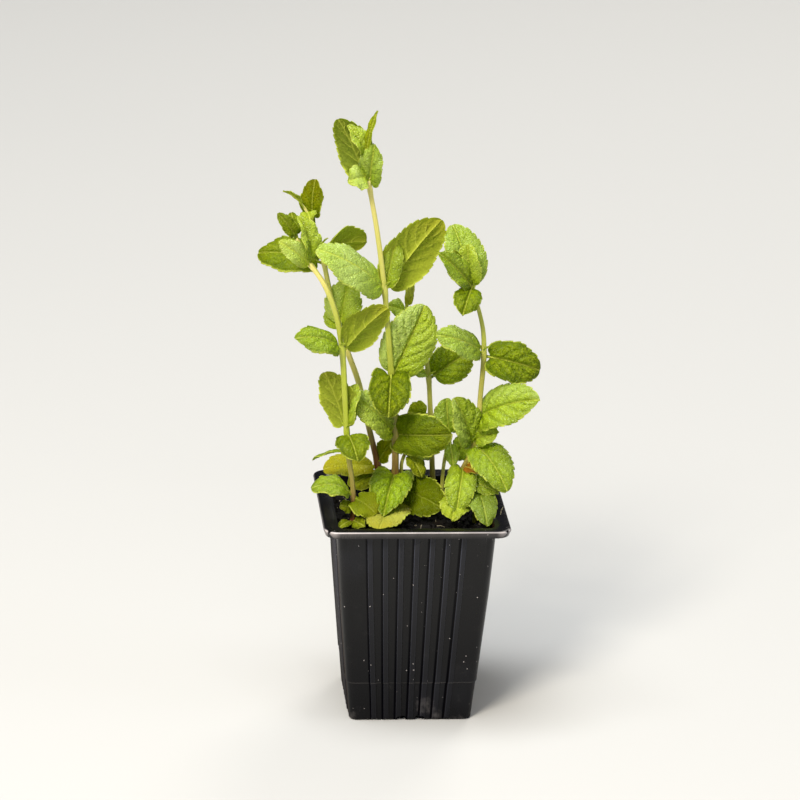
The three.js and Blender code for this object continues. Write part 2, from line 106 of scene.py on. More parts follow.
# Each leafy stem. The route gives right, near, up and half the width from the foot to the tip.
# The colours give, from the foot up, a height, how red the stem is there and how pale.
# The buds are the heights of the nodes that carry a pair of very young leaves.
STEMS = {
    "stem_front_left": {
        "route": [
            (-28, 15, 94, 1.05), (-28, 15, 112, 1.05), (-31, 14, 133, 1.15), (-33, 12, 158, 1.25),
            (-35, 10, 182, 1.3), (-38, 9, 198, 1.3), (-44, 7, 213, 1.3), (-54, 6, 227, 1.1),
            (-58, 6, 236, 0.8),
        ],
        "colours": [
            (94, 1.0, 0.0), (104, 0.9, 0.2), (112, 0.6, 0.5), (126, 0.35, 0.4), (140, 0.05, 0.0),
            (190, 0.0, 0.2), (206, 0.0, 0.35), (216, 0.0, 1.0),
        ],
        "buds": [142, 182, 227],
        "leaves": [
            leaf(235, (-67, 10, 249), 7.5, (0.2, 1, 0.6), 0.1, 20, "dark", puff=0.6),
            leaf(235, (-61, 1, 247), 7, (0, 1, 1), 0.1, 20, "dark"),
            leaf(223, (-57, 6, 247), 13, (1, 1, 0), 0.1, 35, "bright"),
            leaf(222, (-66, 13, 236), 10, (-0.5, 1, 1), 0.1, 10, "pale", puff=0.5),
            leaf(182, (-57, 22, 191), 16.5, (0, 0.6, 1), 0.15, -5, "green", curl=0.9),
            leaf(181, (-14, 4, 202), 22.5, (-0.6, -1, 0.3), 0.06, 1, "glowing", puff=0.6),
            leaf(142, (-43, 8, 170), 19, (0.4, -1, 0.1), 0.05, 12, "olive"),
            leaf(142, (-27, 4, 163), 13, (-1, 0.8, 0.2), 0.05, 15, "bright"),
            leaf(141, (-26, 31, 133.5), 16, (0, 1, 2), 0.12, 10, "dark"),
            leaf(133, (-48, 4, 124), 8, (-0.4, -0.34, 1), 0.05, 0, "green", curl=0.1),
            leaf(110, (-48, 20, 115), 14, (0, 0.4, 1), 0.2, 5, "green", curl=0.8),
            leaf(109, (-16.5, 22.5, 103.5), 14.5, (0, 0.7, 1), 0.12, 3, "olive", lobes=0.3, puff=0.15),
            leaf(103, (-34, 19, 106), 7, (0, 1, 1), 0.1, 5, "olive"),
            leaf(97, (-34.5, 28, 97.5), 5, (0, 1, 2), 0.08, 5, "olive"),
            leaf(97, (-22, 29, 99.5), 6.5, (-0.5, 1, 1), 0.08, 5, "olive"),
        ],
    },
    "stem_tall": {
        "route": [
            (-8, -8, 94, 1.6), (-8, -8, 116, 1.6), (-9, -7, 142, 1.5), (-11, -6, 163, 1.4),
            (-14, -4, 194, 1.3), (-16, -3, 212, 1.25), (-20, -1, 239, 1.15), (-24, 2, 261, 1.05),
            (-26, 3, 277, 0.8),
        ],
        "colours": [
            (94, 0.7, 0.1), (118, 0.75, 0.3), (128, 0.65, 0.3), (150, 0.1, 0.1), (186, 0.0, 0.15),
            (202, 0.0, 0.35), (230, 0.0, 0.7), (250, 0.0, 0.9),
        ],
        "buds": [133, 208, 262],
        "leaves": [
            leaf(276, (-21, 4, 299), 5, (-1, 0.8, 0), 0.05, 25, "olive"),
            leaf(275, (-35, 2, 291), 10.5, (1, 1, 1), 0.1, 18, "bright"),
            leaf(259, (-39.5, -2, 293), 20, (0.3, -1, 0.3), 0.05, 12, "deep"),
            leaf(266, (-34, 13, 267), 12, (-0.2, 1, 0.4), 0.12, 8, "pale", puff=0.2),
            leaf(260.5, (-22, 6, 283), 12, (-0.3, 1, 0.3), 0.05, 15, "cool", lobes=0.2),
            leaf(208, (-48, 15, 233.5), 22, (0, 0.8, 1), 0.1, -14, "bright_sheen", curl=0.5, puff=0.7),
            leaf(208, (10.5, -10, 242.5), 25.5, (-0.3, -1, 0.2), 0.05, 0.5, "glowing", puff=0.85),
            leaf(207, (-11, -8, 232.5), 11.5, (0, 1, 0.3), 0.05, 8, "lime", puff=0.6),
            leaf(
                163, (4, -14, 198), 26, (0.3, 1, 0.6), 0.06, 15, "bright",
                set_back=3.5, puff=1.3, glaze=-1,
            ),
            leaf(166, (-12, 14, 150), 20, (0, 1, 1.6), 0.1, 12, "dark", lobes=0.4, puff=1.4),
            leaf(133, (-31, 6, 158), 18, (-0.3, 0.8, 1.1), 0.08, 6, "sunlit", puff=1.2, glaze=0.6),
            leaf(134, (18.5, 8, 140), 21, (0.2, 1, 0.2), 0.06, 6, "dark", lobes=0.35, puff=0.7),
            leaf(
                113.5, (-13, 22, 102.5), 21, (0, 1, 1.4), 0.14, 15, "fresh",
                lobes=0.5, puff=1.3, point=0.3,
            ),
            leaf(107.5, (15.5, 9, 102.5), 21, (-0.1, 1, 0.9), 0.06, 4, "deep", puff=0.2),
            leaf(101, (-15, 36, 100.5), 21.5, (0, 0.5, 3), 0.03, 2, "cream", puff=0.4, point=0.15),
        ],
    },
    "stem_back_left": {
        "route": [
            (-14, -18, 94, 1.4), (-16, -18, 111, 1.4), (-21, -17, 132, 1.3), (-27, -16, 157, 1.3),
            (-33, -14, 174, 1.3), (-37, -13, 186, 1.2), (-42, -11, 205, 1.1), (-47, -9, 228, 1),
            (-51, -8, 240, 0.7), (-56, -7, 249, 0.45),
        ],
        # From 145 to 178 the stem is paler than its own colour: painted light where the leaves around it
        # shade it.
        "colours": [
            (94, 1.0, 0.0), (125, 0.8, 0.1), (145, 0.1, 0.5), (156, 0.0, 0.8), (178, 0.0, 0.8),
            (205, 0.0, 0.5), (228, 0.0, 0.7), (242, 0.0, 1.0),
        ],
        "buds": [182, 227],
        "leaves": [
            leaf(239, (-50, -12, 260), 12.5, (-0.6, 1, 0.3), 0.08, 15, "shaded", puff=0.6),
            leaf(247, (-65, -4, 256), 6, (0, -0.3, 1), 0.1, 15, "olive"),
            leaf(245, (-52, -1, 243), 8, (0, 1, 1), 0.1, 15, "young"),
            leaf(219, (-77, -18, 220.5), 20, (0, 0.8, 1), 0.1, 2, "dark", puff=0.9),
            leaf(225, (-25, -24, 226), 22, (-0.3, -1, 0.7), 0.1, 3, "olive", puff=0.3),
            leaf(182, (-40, -24, 193), 13, (0, 1, 1), 0.08, 8, "lime"),
            leaf(185, (-33, -16, 209), 18, (-0.2, 1, 0.5), 0.05, 12, "sunlit", puff=0.5, glaze=-0.5),
            leaf(115, (-9.5, -14, 128), 12, (-1, 1, 1), 0.05, 10, "shaded", puff=0.5),
            leaf(113, (-43, -10, 114), 15, (0, 0.6, 1), 0.1, 8, "yellow", puff=0.3),
            leaf(109, (-30, -4, 108), 13, (0, 1, 1), 0.1, 8, "olive"),
        ],
    },
    "stem_back_right": {
        "route": [
            (11, -22, 94, 1.2), (10, -22, 112, 1.2), (8, -21, 145, 1.1), (6, -21, 165, 1.1),
            (2, -21, 179, 1), (-4, -20, 191, 0.8), (-5, -20, 197, 0.7),
        ],
        "colours": [(94, 0.7, 0.1), (125, 0.25, 0.3), (146, 0.15, 0.5), (158, 0.05, 0.4), (170, 0.0, 0.3)],
        "buds": [158],
        "leaves": [
            leaf(193, (-3, -18, 211), 4.5, (0.2, 1, 0.3), 0.05, 15, "cream", wave=1.5),
            leaf(192, (-14, -17, 196), 9, (0, 1, 1), 0.1, 15, "sunlit"),
            leaf(158, (27, -32, 169.5), 19, (-0.4, 1, 0.2), 0.08, 8, "dark"),
            leaf(159, (-2, -12, 164), 8, (0, 0.6, 1), 0.1, 10, "cool"),
            leaf(130, (-8, -14, 136), 14, (0.1, 1, 0.3), 0.06, 8, "lime"),
            leaf(139, (-3, -27, 139), 12, (0.2, 1, 0.6), 0.08, 8, "glowing"),
            leaf(138, (19, -31, 137), 10, (-0.2, 1, 0.6), 0.08, 8, "dark"),
        ],
    },
    "stem_right": {
        "route": [
            (23, -2, 94, 1.1), (23, -2, 108, 1.1), (24, -2, 117, 1.1), (28, -3, 126, 1.1),
            (31, -3, 138, 1.1), (32, -4, 156, 1.1), (33, -5, 176, 1.1), (32, -6, 190, 1),
            (27, -7, 208, 0.9), (25, -7, 215, 0.7),
        ],
        "colours": [
            (94, 0.9, 0.0), (118, 0.7, 0.1), (136, 0.2, 0.3), (148, 0.1, 1.0), (157, 0.25, 0.5),
            (170, 0.35, 0.2), (180, 0.1, 0.25), (200, 0.0, 0.25),
        ],
        "buds": [134, 145, 177, 209],
        "leaves": [
            leaf(213, (17, -4, 229), 6, (0, 1, 0.3), 0.05, 30, "dark"),
            leaf(209, (23.5, -4, 232), 14, (-0.5, 1, 0.4), 0.06, 16, "bright", puff=0.7),
            leaf(208, (16, -13, 239), 20, (0.2, 1, 0.6), 0.1, 15, "cool", puff=0.7),
            leaf(208, (10, 2, 229), 13, (0.6, 1, 0.6), 0.08, 20, "green"),
            leaf(210, (22, 10, 201), 13.5, (0, 1, 1), 0.1, 15, "dark"),
            leaf(177, (10, 8, 190), 17, (0, 0.8, 1), 0.1, -6, "cool"),
            leaf(176, (60.5, -9, 168), 20, (0, 1, 0.7), 0.08, 4, "dark", lobes=0.16, puff=1.2),
            leaf(
                145, (60, 14, 161), 23, (-0.2, 0.8, 0.9), 0.1, 3, "lime",
                curl=0.1, lobes=0.2, puff=1.2, glaze=-0.4,
            ),
            leaf(129, (19.5, 3, 157), 18, (0.7, 1, 0.4), 0.06, 20, "lime", glaze=-0.5),
            leaf(133, (41, 8, 142), 11, (-0.3, 1, 0.8), 0.1, 10, "bright"),
            leaf(131, (46, 22, 117), 19, (0.2, 1, 1), 0.16, 8, "green"),
            leaf(135, (21, -14, 122), 12, (-0.4, 1, 0.6), 0.08, 8, "green"),
            leaf(120, (31.5, 8, 121), 6.5, (0, 1, 1), 0.1, 10, "rust"),
            leaf(113, (42, 12, 112), 11, (0, 0.7, 1), 0.1, 8, "lime"),
            leaf(120, (22, 20, 104), 15, (0, 1, 1), 0.14, 12, "lime", lobes=0.28, puff=1.1),
            leaf(105, (20, 26, 103), 15, (0, 0.6, 1), 0.08, 5, "young"),
            leaf(122, (33.5, 4, 121), 6, (0.2, 1, 0.6), 0.1, 12, "rust"),
        ],
    },
    "shoot_middle": {
        "route": [(-4, -12, 94, 0.9), (-5, -12, 112, 0.8), (-5, -11, 118, 0.8), (-3, -10, 125, 0.6)],
        "colours": [(94, 0.4, 0.2), (125, 0.0, 0.6)],
        "buds": [],
        "leaves": [
            leaf(124, (5, -2, 114), 9, (0.6, 1, 1), 0.12, 10, "olive"),
            leaf(123, (10, -12, 123), 10, (0, 0.7, 1), 0.1, 5, "bright"),
        ],
    },
    "shoot_back": {
        "route": [
            (15, -11, 94, 0.9), (15, -11, 110, 0.8), (16, -11, 122, 0.8), (18, -10, 131, 0.7),
            (19, -10, 134, 0.6),
        ],
        "colours": [(94, 0.4, 0.2), (125, 0.0, 0.5)],
        "buds": [],
        "leaves": [
            leaf(132, (16, -11, 152), 14, (-0.4, 1, 0.2), 0.05, 25, "cool"),
            leaf(131, (20, 0, 121), 7, (0, 1, 1), 0.1, 10, "green"),
        ],
    },
    "shoot_right": {
        "route": [(31, 5, 94, 0.9), (31, 5, 104, 0.8), (31.5, 5, 113.5, 0.6)],
        "colours": [(94, 0.6, 0.1), (110, 0.1, 0.5)],
        "buds": [],
        "leaves": [
            leaf(
                112.5, (37, 24, 99.5), 14, (0.2, 0.8, 1), 0.12, 8, "painted_shade",
                lobes=0.5, puff=0.4, point=0.3,
            ),
        ],
    },
}

# The pot's rim, walls and floor, in millimetres. A half is half a width. A ring further in has corners of a
# smaller radius, by a share of how far in it is. The step is a small ledge near the foot of each wall.
RIM_CORNER = 7
FLANGE_WIDTH = 5.4
FLANGE_THICKNESS = 1.2
LIP_DEPTH = 3.6
TOP_CORNER = 5.5
BOTTOM_CORNER = 4
CORNER_STEPS = 10
CORNER_SHARE = 0.6
WALL = 1
FLOOR_THICKNESS = 1.6
BEND_HEIGHT = 68
BEND_HALF = 36.1
STEP_HEIGHT = 20
STEP_SIZE = 0.35
STEP_HALF = 31.8
UNDER_STEP = STEP_HEIGHT - 0.01
OVER_STEP = STEP_HEIGHT + STEP_SIZE
POT_CREASE = 38

# Its ribs, notches and drain holes. The reach is the ribs on each side of a wall's middle one.
RIB_COUNT = 7
RIB_REACH = (RIB_COUNT - 1) // 2
RIB_PITCH = 7.6
RIB_WIDTH = 2.8
RIB_PROUD = 0.45
RIB_SUNK = 0.4
RIB_LOW = 1.5
RIB_UNDER_RIM = 1.6
RIB_EDGE_STEPS = 4
NOTCH_WIDTH = 4.4
NOTCH_HEIGHT = 2.3
NOTCH_LENGTH = 4
NOTCH_ROUNDING = 0.9
NOTCH_OFFSET = 4.6
DRAIN_RADIUS = 2.4
DRAIN_LENGTH = 6
DRAIN_OFFSET = 15

# The compost: its gap to the wall, the squares along each side of its surface, how far its crumbs and fibres
# stay from its edge, the edges of a crumb, and the ends of a straw that leans over the rim
GAP = 0.3
SURFACE_STEPS = 130
CRUMB_MARGIN = 2.2
FIBRE_MARGIN = 4
CRUMB_EDGES = 30
RIM_STRAW = [(39.4, -26.5, 101.6), (44.0, -11.4, 103.4)]
COMPOST_CREASE = 50
COMPOST_SEED = 11

# The mint: how deep its stems stand in the compost, the points round a stem, how far apart its rows of
# points are, and the shares of a tooth on a leaf's margin at which rows of points lie. Each crease is the
# angle in degrees past which an edge is left sharp, and each seed starts a piece's random numbers.
ROOT_DEPTH = 14
STEM_SIDES = 24
STEM_ROW = 1.1
TOOTH_STEPS = (0.0, 0.18, 0.36, 0.54, 0.72, 0.86, 0.96)
MINT_CREASE = 62
MINT_SEED = 100

# What the points of a piece hold, three numbers each
HELD_VALUES = ("leaf_place", "leaf_lines", "leaf_kind", "leaf_relief")
NOTHING = (0, 0, 0)

# The camera's lens in millimetres, and what it looks at, to the right of the middle and up from the ground
LENS = 213.26
SENSOR_WIDTH = 36
AIM_RIGHT = -6.69
AIM_UP = 154.06

# Each light: its name among the settings, its place and size in metres, and its colour
LIGHTS = [
    ("key", (-0.9, -1.5, 1.8), (0.6, 0.6), (1.0, 0.94, 0.82)),
    ("fill", (2.0, -0.5, 0.6), (0.9, 0.9), (0.75, 0.86, 1.0)),
    ("top", (-0.8, -0.4, 4.6), (2.4, 2.4), (0.95, 0.98, 1.0)),
    ("strip", (-0.1, -2.4, 1.9), (1.6, 0.14), (0.95, 0.97, 1.0)),
    ("back", (0.8, 1.7, 1.5), (0.8, 0.8), (1.0, 0.97, 0.9)),
]
LIGHTS_AIM = Vector((0, 0, 0.15))
SKY = (0.8, 0.83, 0.88, 1.0)
SKY_STRENGTH = 0.1
FLOOR_SIZE = 14


def length_setting(name, description, default):
    """A setting that is a length in metres."""
    return FloatProperty(name=name, description=description, default=default, unit="LENGTH")


def angle_setting(name, description, degrees):
    """A setting that is an angle."""
    return FloatProperty(name=name, description=description, default=math.radians(degrees), subtype="ANGLE")


def power_setting(name, description, default):
    """A setting that is the power of a light."""
    return FloatProperty(name=name, description=description, default=default, unit="POWER")


def count_setting(name, description, default):
    """A setting that is a number of like things."""
    return IntProperty(name=name, description=description, default=default, min=0)


def colour_setting(name, description, default):
    """A setting that is a colour."""
    return FloatVectorProperty(name=name, description=description, default=default, subtype="COLOR")


class PotSizes(PropertyGroup):
    """Sizes and colours of the pot."""

    height: length_setting("Height", "Height of the pot", 0.103)
    rim_half: length_setting("Half rim", "Half the width over the rim", 0.045)
    top_half: length_setting("Half top", "Half the width of the walls under the rim", 0.0386)
    bottom_half: length_setting("Half bottom", "Half the width over the bottom", 0.0296)
    plastic: colour_setting("Plastic", "Colour of the plastic", (0.0026, 0.0024, 0.0028))
    # Painted highlights and reflections on the ribs take this bluish colour, and so does a faint random
    # haze.
    rib_sheen_and_haze: colour_setting("Wear", "Colour of its worn edges", (0.26, 0.28, 0.4))
    # Dust, scuffs and a paler line at the step take this colour, and so do the painted reflection and
    # highlights on the rim's lip.
    dust_and_lip_sheen: colour_setting("Dust", "Colour of the dust on it", (0.5, 0.45, 0.44))


class CompostSizes(PropertyGroup):
    """Sizes and colours of the compost."""

    level: length_setting("Level", "Height of the compost's surface", 0.094)
    crumbs: count_setting("Crumbs", "Loose crumbs on the surface", 420)
    fibres: count_setting("Fibres", "Loose fibres on the surface", 34)
    dark: colour_setting("Peat", "Colour of the peat", (0.003, 0.0022, 0.0016))
    light: colour_setting("Dry peat", "Colour of its drier crumbs", (0.018, 0.012, 0.008))
    straw: colour_setting("Fibre", "Colour of the fibres", (0.5, 0.42, 0.28))


class PlantLook(PropertyGroup):
    """Sizes and colours of the mint."""

    blade: length_setting("Blade", "Thickness of a leaf blade", 0.00034)
    quilt: length_setting("Quilting", "How far a blade puffs up between its veins", 0.0014)
    dark_green: colour_setting("Dark green", "Colour of the darkest leaves", (0.085, 0.15, 0.0006))
    light_green: colour_setting("Light green", "Colour of the lightest leaves", (0.45, 0.61, 0.012))
    yellow: colour_setting("Yellow", "Colour of the leaves that turn", (0.62, 0.52, 0.012))
    dark_yellow: colour_setting("Dark yellow", "Colour of the darkest that turn", (0.15, 0.12, 0.002))
    rust: colour_setting("Rust", "Colour of the leaves that wither", (0.42, 0.12, 0.012))
    # This colour makes undersides and some leaves paler, and also paints a sheen where light glances off a
    # leaf.
    paleness_and_sheen: colour_setting("Bloom", "Colour of the pale bloom", (0.61, 0.75, 0.21))
    vein: colour_setting("Veins", "Colour of the veins", (0.7, 0.74, 0.1))
    stem_green: colour_setting("Stem", "Colour of a stem", (0.36, 0.43, 0.02))
    stem_pale: colour_setting("Young stem", "Colour of a stem's pale top", (0.74, 0.65, 0.2))
    stem_red: colour_setting("Old stem", "Colour of a stem's reddish foot", (0.16, 0.05, 0.018))


class StageSizes(PropertyGroup):
    """The floor, lights and camera."""

    strip: power_setting("Strip light", "Power of the strip in front", 8.0)
    key: power_setting("Key light", "Power of the light on the left", 60.0)
    fill: power_setting("Fill light", "Power of the light on the right", 8.0)
    top: power_setting("Top light", "Power of the light overhead", 235.0)
    back: power_setting("Back light", "Power of the light behind", 16.0)
    distance: length_setting("Distance", "How far the camera stands away", 2.282)
    azimuth: angle_setting("Azimuth", "Direction that the camera looks from", -5.286)
    elevation: angle_setting("Elevation", "How far the camera looks down", 18.836)
    roll: angle_setting("Roll", "How far the camera is tipped", 1.641)
    floor: colour_setting("Floor", "Colour of the floor", (0.5, 0.49, 0.475))


class Signal:
    """One output in a material, so that plain arithmetic on it adds the nodes that work it out."""

    def __init__(self, graph, socket):
        self.graph = graph
        self.socket = socket

    def __add__(self, other):
        return self.graph.maths("ADD", self, other)

    def __radd__(self, other):
        return self.graph.maths("ADD", other, self)

    def __sub__(self, other):
        return self.graph.maths("SUBTRACT", self, other)

    def __rsub__(self, other):
        return self.graph.maths("SUBTRACT", other, self)

    def __mul__(self, other):
        return self.graph.maths("MULTIPLY", self, other)

    def __rmul__(self, other):
        return self.graph.maths("MULTIPLY", other, self)

    def __truediv__(self, other):
        return self.graph.maths("DIVIDE", self, other)

    def __rtruediv__(self, other):
        return self.graph.maths("DIVIDE", other, self)

    def __abs__(self):
        return self.graph.maths("ABSOLUTE", self)

    def fraction(self):
        """What is left of the value over a whole number."""
        return self.graph.maths("FRACT", self)

    def most(self, other):
        """The larger of this and another value."""
        return self.graph.maths("MAXIMUM", self, other)

    def least(self, other):
        """The smaller of this and another value."""
        return self.graph.maths("MINIMUM", self, other)

    def held(self):
        """The value held between 0 and 1."""
        return self.graph.add("ShaderNodeClamp", {}, {"Value": self})

    def rise(self, low, high, start=0.0, end=1.0):
        """A smooth step from start to end as the value goes from low to high."""
        settings = {"interpolation_type": "SMOOTHSTEP"}
        sockets = {"Value": self, "From Min": low, "From Max": high, "To Min": start, "To Max": end}
        return self.graph.add("ShaderNodeMapRange", settings, sockets)

    def band(self, low, full_low, full_high, high):
        """1 between the two inner values, with a smooth fall to 0 at the outer ones."""
        return self.rise(low, full_low) * self.rise(high, full_high)

    def part(self, index):
        """One number of a vector or colour."""
        return self.graph.add("ShaderNodeSeparateXYZ", {}, {"Vector": self}, output=index)


class Graph:
    """A material and its nodes."""

    def __init__(self, name):
        self.material = bpy.data.materials.new(name)
        self.material.use_nodes = True
        self.tree = self.material.node_tree
        self.tree.nodes.clear()

    def add(self, kind, settings, sockets, output=0):
        """Adds a node with its settings and the values or links of its sockets."""
        node = self.tree.nodes.new(kind)
        for name, value in settings.items():
            setattr(node, name, value)
        for key, value in sockets.items():
            if isinstance(value, Signal):
                self.tree.links.new(value.socket, node.inputs[key])
            else:
                node.inputs[key].default_value = value
        return Signal(self, node.outputs[output])

    def maths(self, operation, *values):
        """A Math node on numbers and signals."""
        return self.add("ShaderNodeMath", {"operation": operation}, dict(enumerate(values)))

    def mix(self, amount, first, second):
        """A colour that goes from the first to the second, through the Mix node's sockets for colours."""
        colours = [(*value, 1.0) if not isinstance(value, Signal) else value for value in (first, second)]
        sockets = {0: amount, 6: colours[0], 7: colours[1]}
        return self.add("ShaderNodeMix", {"data_type": "RGBA"}, sockets, output=2)

    def place(self):
        """Where a point is on the piece, in metres."""
        return self.add("ShaderNodeTexCoord", {}, {}, output="Object")

    def stretched(self, vector, scale):
        """A vector scaled along each axis."""
        return self.add("ShaderNodeMapping", {}, {"Vector": vector, "Scale": scale})

    def values(self, name):
        """The values that the mesh holds at its points under a name."""
        settings = {"attribute_type": "GEOMETRY", "attribute_name": name}
        return self.add("ShaderNodeAttribute", settings, {}, output="Vector")

    def noise(self, vector, scale, detail=3.0, roughness=0.5):
        """Soft noise from 0 to 1."""
        sockets = {"Vector": vector, "Scale": scale, "Detail": detail, "Roughness": roughness}
        return self.add("ShaderNodeTexNoise", {}, sockets)

    def cells(self, vector, scale, feature="F1"):
        """The distance to the nearest of scattered points, or to the edge of its cell."""
        return self.add("ShaderNodeTexVoronoi", {"feature": feature}, {"Vector": vector, "Scale": scale})

    def bump(self, height, distance, strength=1.0):
        """A normal tilted by a height, whose full range is a distance in metres."""
        sockets = {"Height": height, "Distance": distance, "Strength": strength}
        return self.add("ShaderNodeBump", {}, sockets)

    def surface(self, sockets):
        """A Principled surface."""
        return self.add("ShaderNodeBsdfPrincipled", {}, sockets)

    def dull_surface(self, colour):
        """A matt surface of one colour, with no highlight."""
        return self.add("ShaderNodeBsdfDiffuse", {}, {"Color": (*colour, 1.0), "Roughness": 0.5})

    def layer(self, share, below, above):
        """One surface over another, which it hides by a share."""
        return self.add("ShaderNodeMixShader", {}, {0: share, 1: below, 2: above})

    def finish(self, shader):
        """Sends a shader to the material's output and returns the material."""
        node = self.tree.nodes.new("ShaderNodeOutputMaterial")
        self.tree.links.new(shader.socket, node.inputs["Surface"])
        return self.material


def rib_light_and_shade(graph, place, sizes):
    """How far a point of a wall is on a rib's edge, on its face and in the crease beside it, where a painted
    highlight, a painted reflection and a painted shadow go.
    """
    across = abs(place.part(0))
    deep = abs(place.part(1))
    along = across.least(deep)
    half = across.most(deep)
    pitch = half * (RIB_PITCH * MM / sizes.top_half)
    under_lip = place.part(2).rise(sizes.height - 4.2 * MM, sizes.height - 4.6 * MM)
    in_row = (along / pitch).rise(RIB_REACH + 0.4, RIB_REACH + 0.3) * under_lip
    front = graph.maths("LESS_THAN", across, deep)
    signed = (place.part(0) * front + place.part(1) * (1 - front)) / pitch
    off_centre = ((signed + 0.5).fraction() - 0.5) * pitch
    left = -RIB_WIDTH / 2 * MM
    right = RIB_WIDTH / 2 * MM
    # Painted light and shade: a highlight along each rib's left edge and a weaker one along its right, a
    # reflection on its face, and a shadow in the crease at its left foot.
    face = off_centre.band(left - 0.1 * MM, left + 0.1 * MM, right - 1.2 * MM, right)
    edge = off_centre.band(left, left + 0.2 * MM, left + 0.3 * MM, left + 0.6 * MM)
    ridge_highlight = off_centre.band(right - 0.7 * MM, right - 0.5 * MM, right - 0.4 * MM, right - 0.2 * MM)
    crease_shadow = off_centre.band(left - 1.3 * MM, left - 0.6 * MM, left - 0.1 * MM, left + 0.1 * MM)
    return (edge + ridge_highlight * 0.5) * in_row, face * in_row, crease_shadow * in_row


def lip_highlights(place, cloud, sizes):
    """How pale the rim's lip is, as a painted reflection and painted highlights: faintly all over, more
    along its near edge, and at its corners.
    """
    height = place.part(2)
    rim = sizes.height
    half = sizes.rim_half
    across = abs(place.part(0))
    deep = abs(place.part(1))
    outer = across.most(deep).rise(half - 2 * MM, half - 1.4 * MM)
    side = height.band(rim - 4.5 * MM, rim - 4.1 * MM, rim - 0.6 * MM, rim)
    lip = height.rise(rim - 4.2 * MM, rim - MM, 0.1, 1.0) * side * outer
    edge = height.band(rim - 0.8 * MM, rim - 0.5 * MM, rim - 0.2 * MM, rim - 0.08 * MM) * outer
    near = place.part(1).rise(7 * MM - half, 2 * MM - half)
    corner = across.least(deep).rise(half - 8 * MM, half - 4.5 * MM) * lip
    # Painted reflection over the lip, and a painted highlight along its rounded top edge on the near side
    # only.
    lip_reflection_and_edge = lip * cloud.rise(0.35, 0.65, 0.07, 0.19) + edge * near * cloud.rise(0.35, 0.6, 0.55, 1.0)
    return lip_reflection_and_edge + corner * 0.4


def pot_plastic(sizes):
    """Satin black plastic with fine moulding marks, scuffs and specks of dust, with painted highlights and
    reflections on its ribs and rim, painted shade in the creases, on faces that turn upwards and towards the
    foot, and a painted brown reflection on its left and right walls.
    """
    graph = Graph("pot_plastic")
    place = graph.place()
    height = place.part(2)
    cloud = graph.noise(place, 38.0, 4.0)
    streaks = graph.noise(graph.stretched(place, (900, 900, 24)), 1.0, 3.0)
    grain = graph.noise(place, 2600.0, 2.0)

    rib_edge_highlight, rib_face_reflection, crease_shadow = rib_light_and_shade(graph, place, sizes)
    # Painted highlights along the ribs' edges and a painted bluish reflection on their faces, strongest
    # towards the rim; the haze is faint random patches of the same colour.
    fading = height.rise(0.04, 0.1, 0.5, 1.0)
    haze = graph.noise(place, 22.0, 2.0).rise(0.5, 0.75) * 0.02
    rib_sheen_and_haze_share = (rib_edge_highlight * (0.04 + cloud * 0.14) + rib_face_reflection * 0.035) * fading + haze
    rib_sheen_and_haze = graph.mix(rib_sheen_and_haze_share, sizes.plastic, sizes.rib_sheen_and_haze)

    speck_size = graph.noise(place, 60.0, 1.0).rise(0.4, 0.65, 0.035, 0.085)
    specks = graph.maths("LESS_THAN", graph.cells(place, 250.0), speck_size)
    scuffs = graph.noise(place, 90.0, 6.0, 0.65).rise(0.56, 0.74) * height.rise(0.024, 0.004, 0.05, 0.6)
    step = STEP_HEIGHT * MM
    ledge = height.band(step - 0.2 * MM, step + 0.1 * MM, step + 0.4 * MM, step + 0.8 * MM)
    ledge = ledge * cloud.rise(0.35, 0.6)
    # The specks and scuffs are dust and wear, the step is paler along a line, and the rim's lip adds its
    # painted reflection and highlights.
    dust_and_lip_sheen_share = scuffs * 0.3 + specks * 0.8 + lip_highlights(place, cloud, sizes) + ledge * 0.1
    colour = graph.mix(dust_and_lip_sheen_share.held(), rib_sheen_and_haze, sizes.dust_and_lip_sheen)

    roughness = 0.2 + cloud.rise(0.3, 0.7) * 0.1 + streaks.rise(0.4, 0.8) * 0.06 + (scuffs + ledge) * 0.3
    normal = graph.bump(grain * 0.5 + streaks * 0.5, 0.00004, 0.5)
    satin = graph.surface({"Base Color": colour, "Roughness": roughness, "Normal": normal, "IOR": 1.34})
    # Painted shade: a dark matt layer in the creases beside the ribs, on faces that turn upwards, and more
    # towards the foot.
    facing = graph.add("ShaderNodeNewGeometry", {}, {}, output="Normal")
    upward = facing.part(2).rise(0.7, 0.97)
    painted_shade = (crease_shadow * 0.65 + upward * 0.5 + height.rise(0.08, 0.0, 0.0, 0.45)).held()
    matt = graph.layer(painted_shade, satin, graph.dull_surface((0.002, 0.002, 0.003)))
    # Painted reflection: a dark brown matt layer on the walls that face left and right.
    painted_side_reflection = abs(facing.part(0)).rise(0.9, 0.99) * 0.75
    return graph.finish(graph.layer(painted_side_reflection, matt, graph.dull_surface((0.016, 0.008, 0.005))))


def peat(sizes):
    """Damp peat with drier crumbs."""
    graph = Graph("compost_peat")
    place = graph.place()
    patches = graph.noise(place, 120.0, 5.0, 0.7)
    crumbs = graph.cells(place, 700.0)
    colour = graph.mix(patches.rise(0.5, 0.85), sizes.dark, sizes.light)
    roughness = 0.8 + patches.rise(0.3, 0.7) * 0.18
    normal = graph.bump(graph.noise(place, 900.0, 5.0) + crumbs * 0.6, 0.0004, 0.9)
    sockets = {"Base Color": colour, "Roughness": roughness, "Normal": normal, "Specular IOR Level": 0.15}
    return graph.finish(graph.surface(sockets))


def dry_fibre(sizes):
    """Pale plant fibre and grit."""
    graph = Graph("compost_fibre")
    place = graph.place()
    patches = graph.noise(place, 260.0, 4.0)
    colour = graph.mix(patches.rise(0.35, 0.7), sizes.straw, sizes.light)
    normal = graph.bump(graph.noise(place, 1800.0, 3.0), 0.0001, 0.6)
    return graph.finish(graph.surface({"Base Color": colour, "Roughness": 0.75, "Normal": normal}))


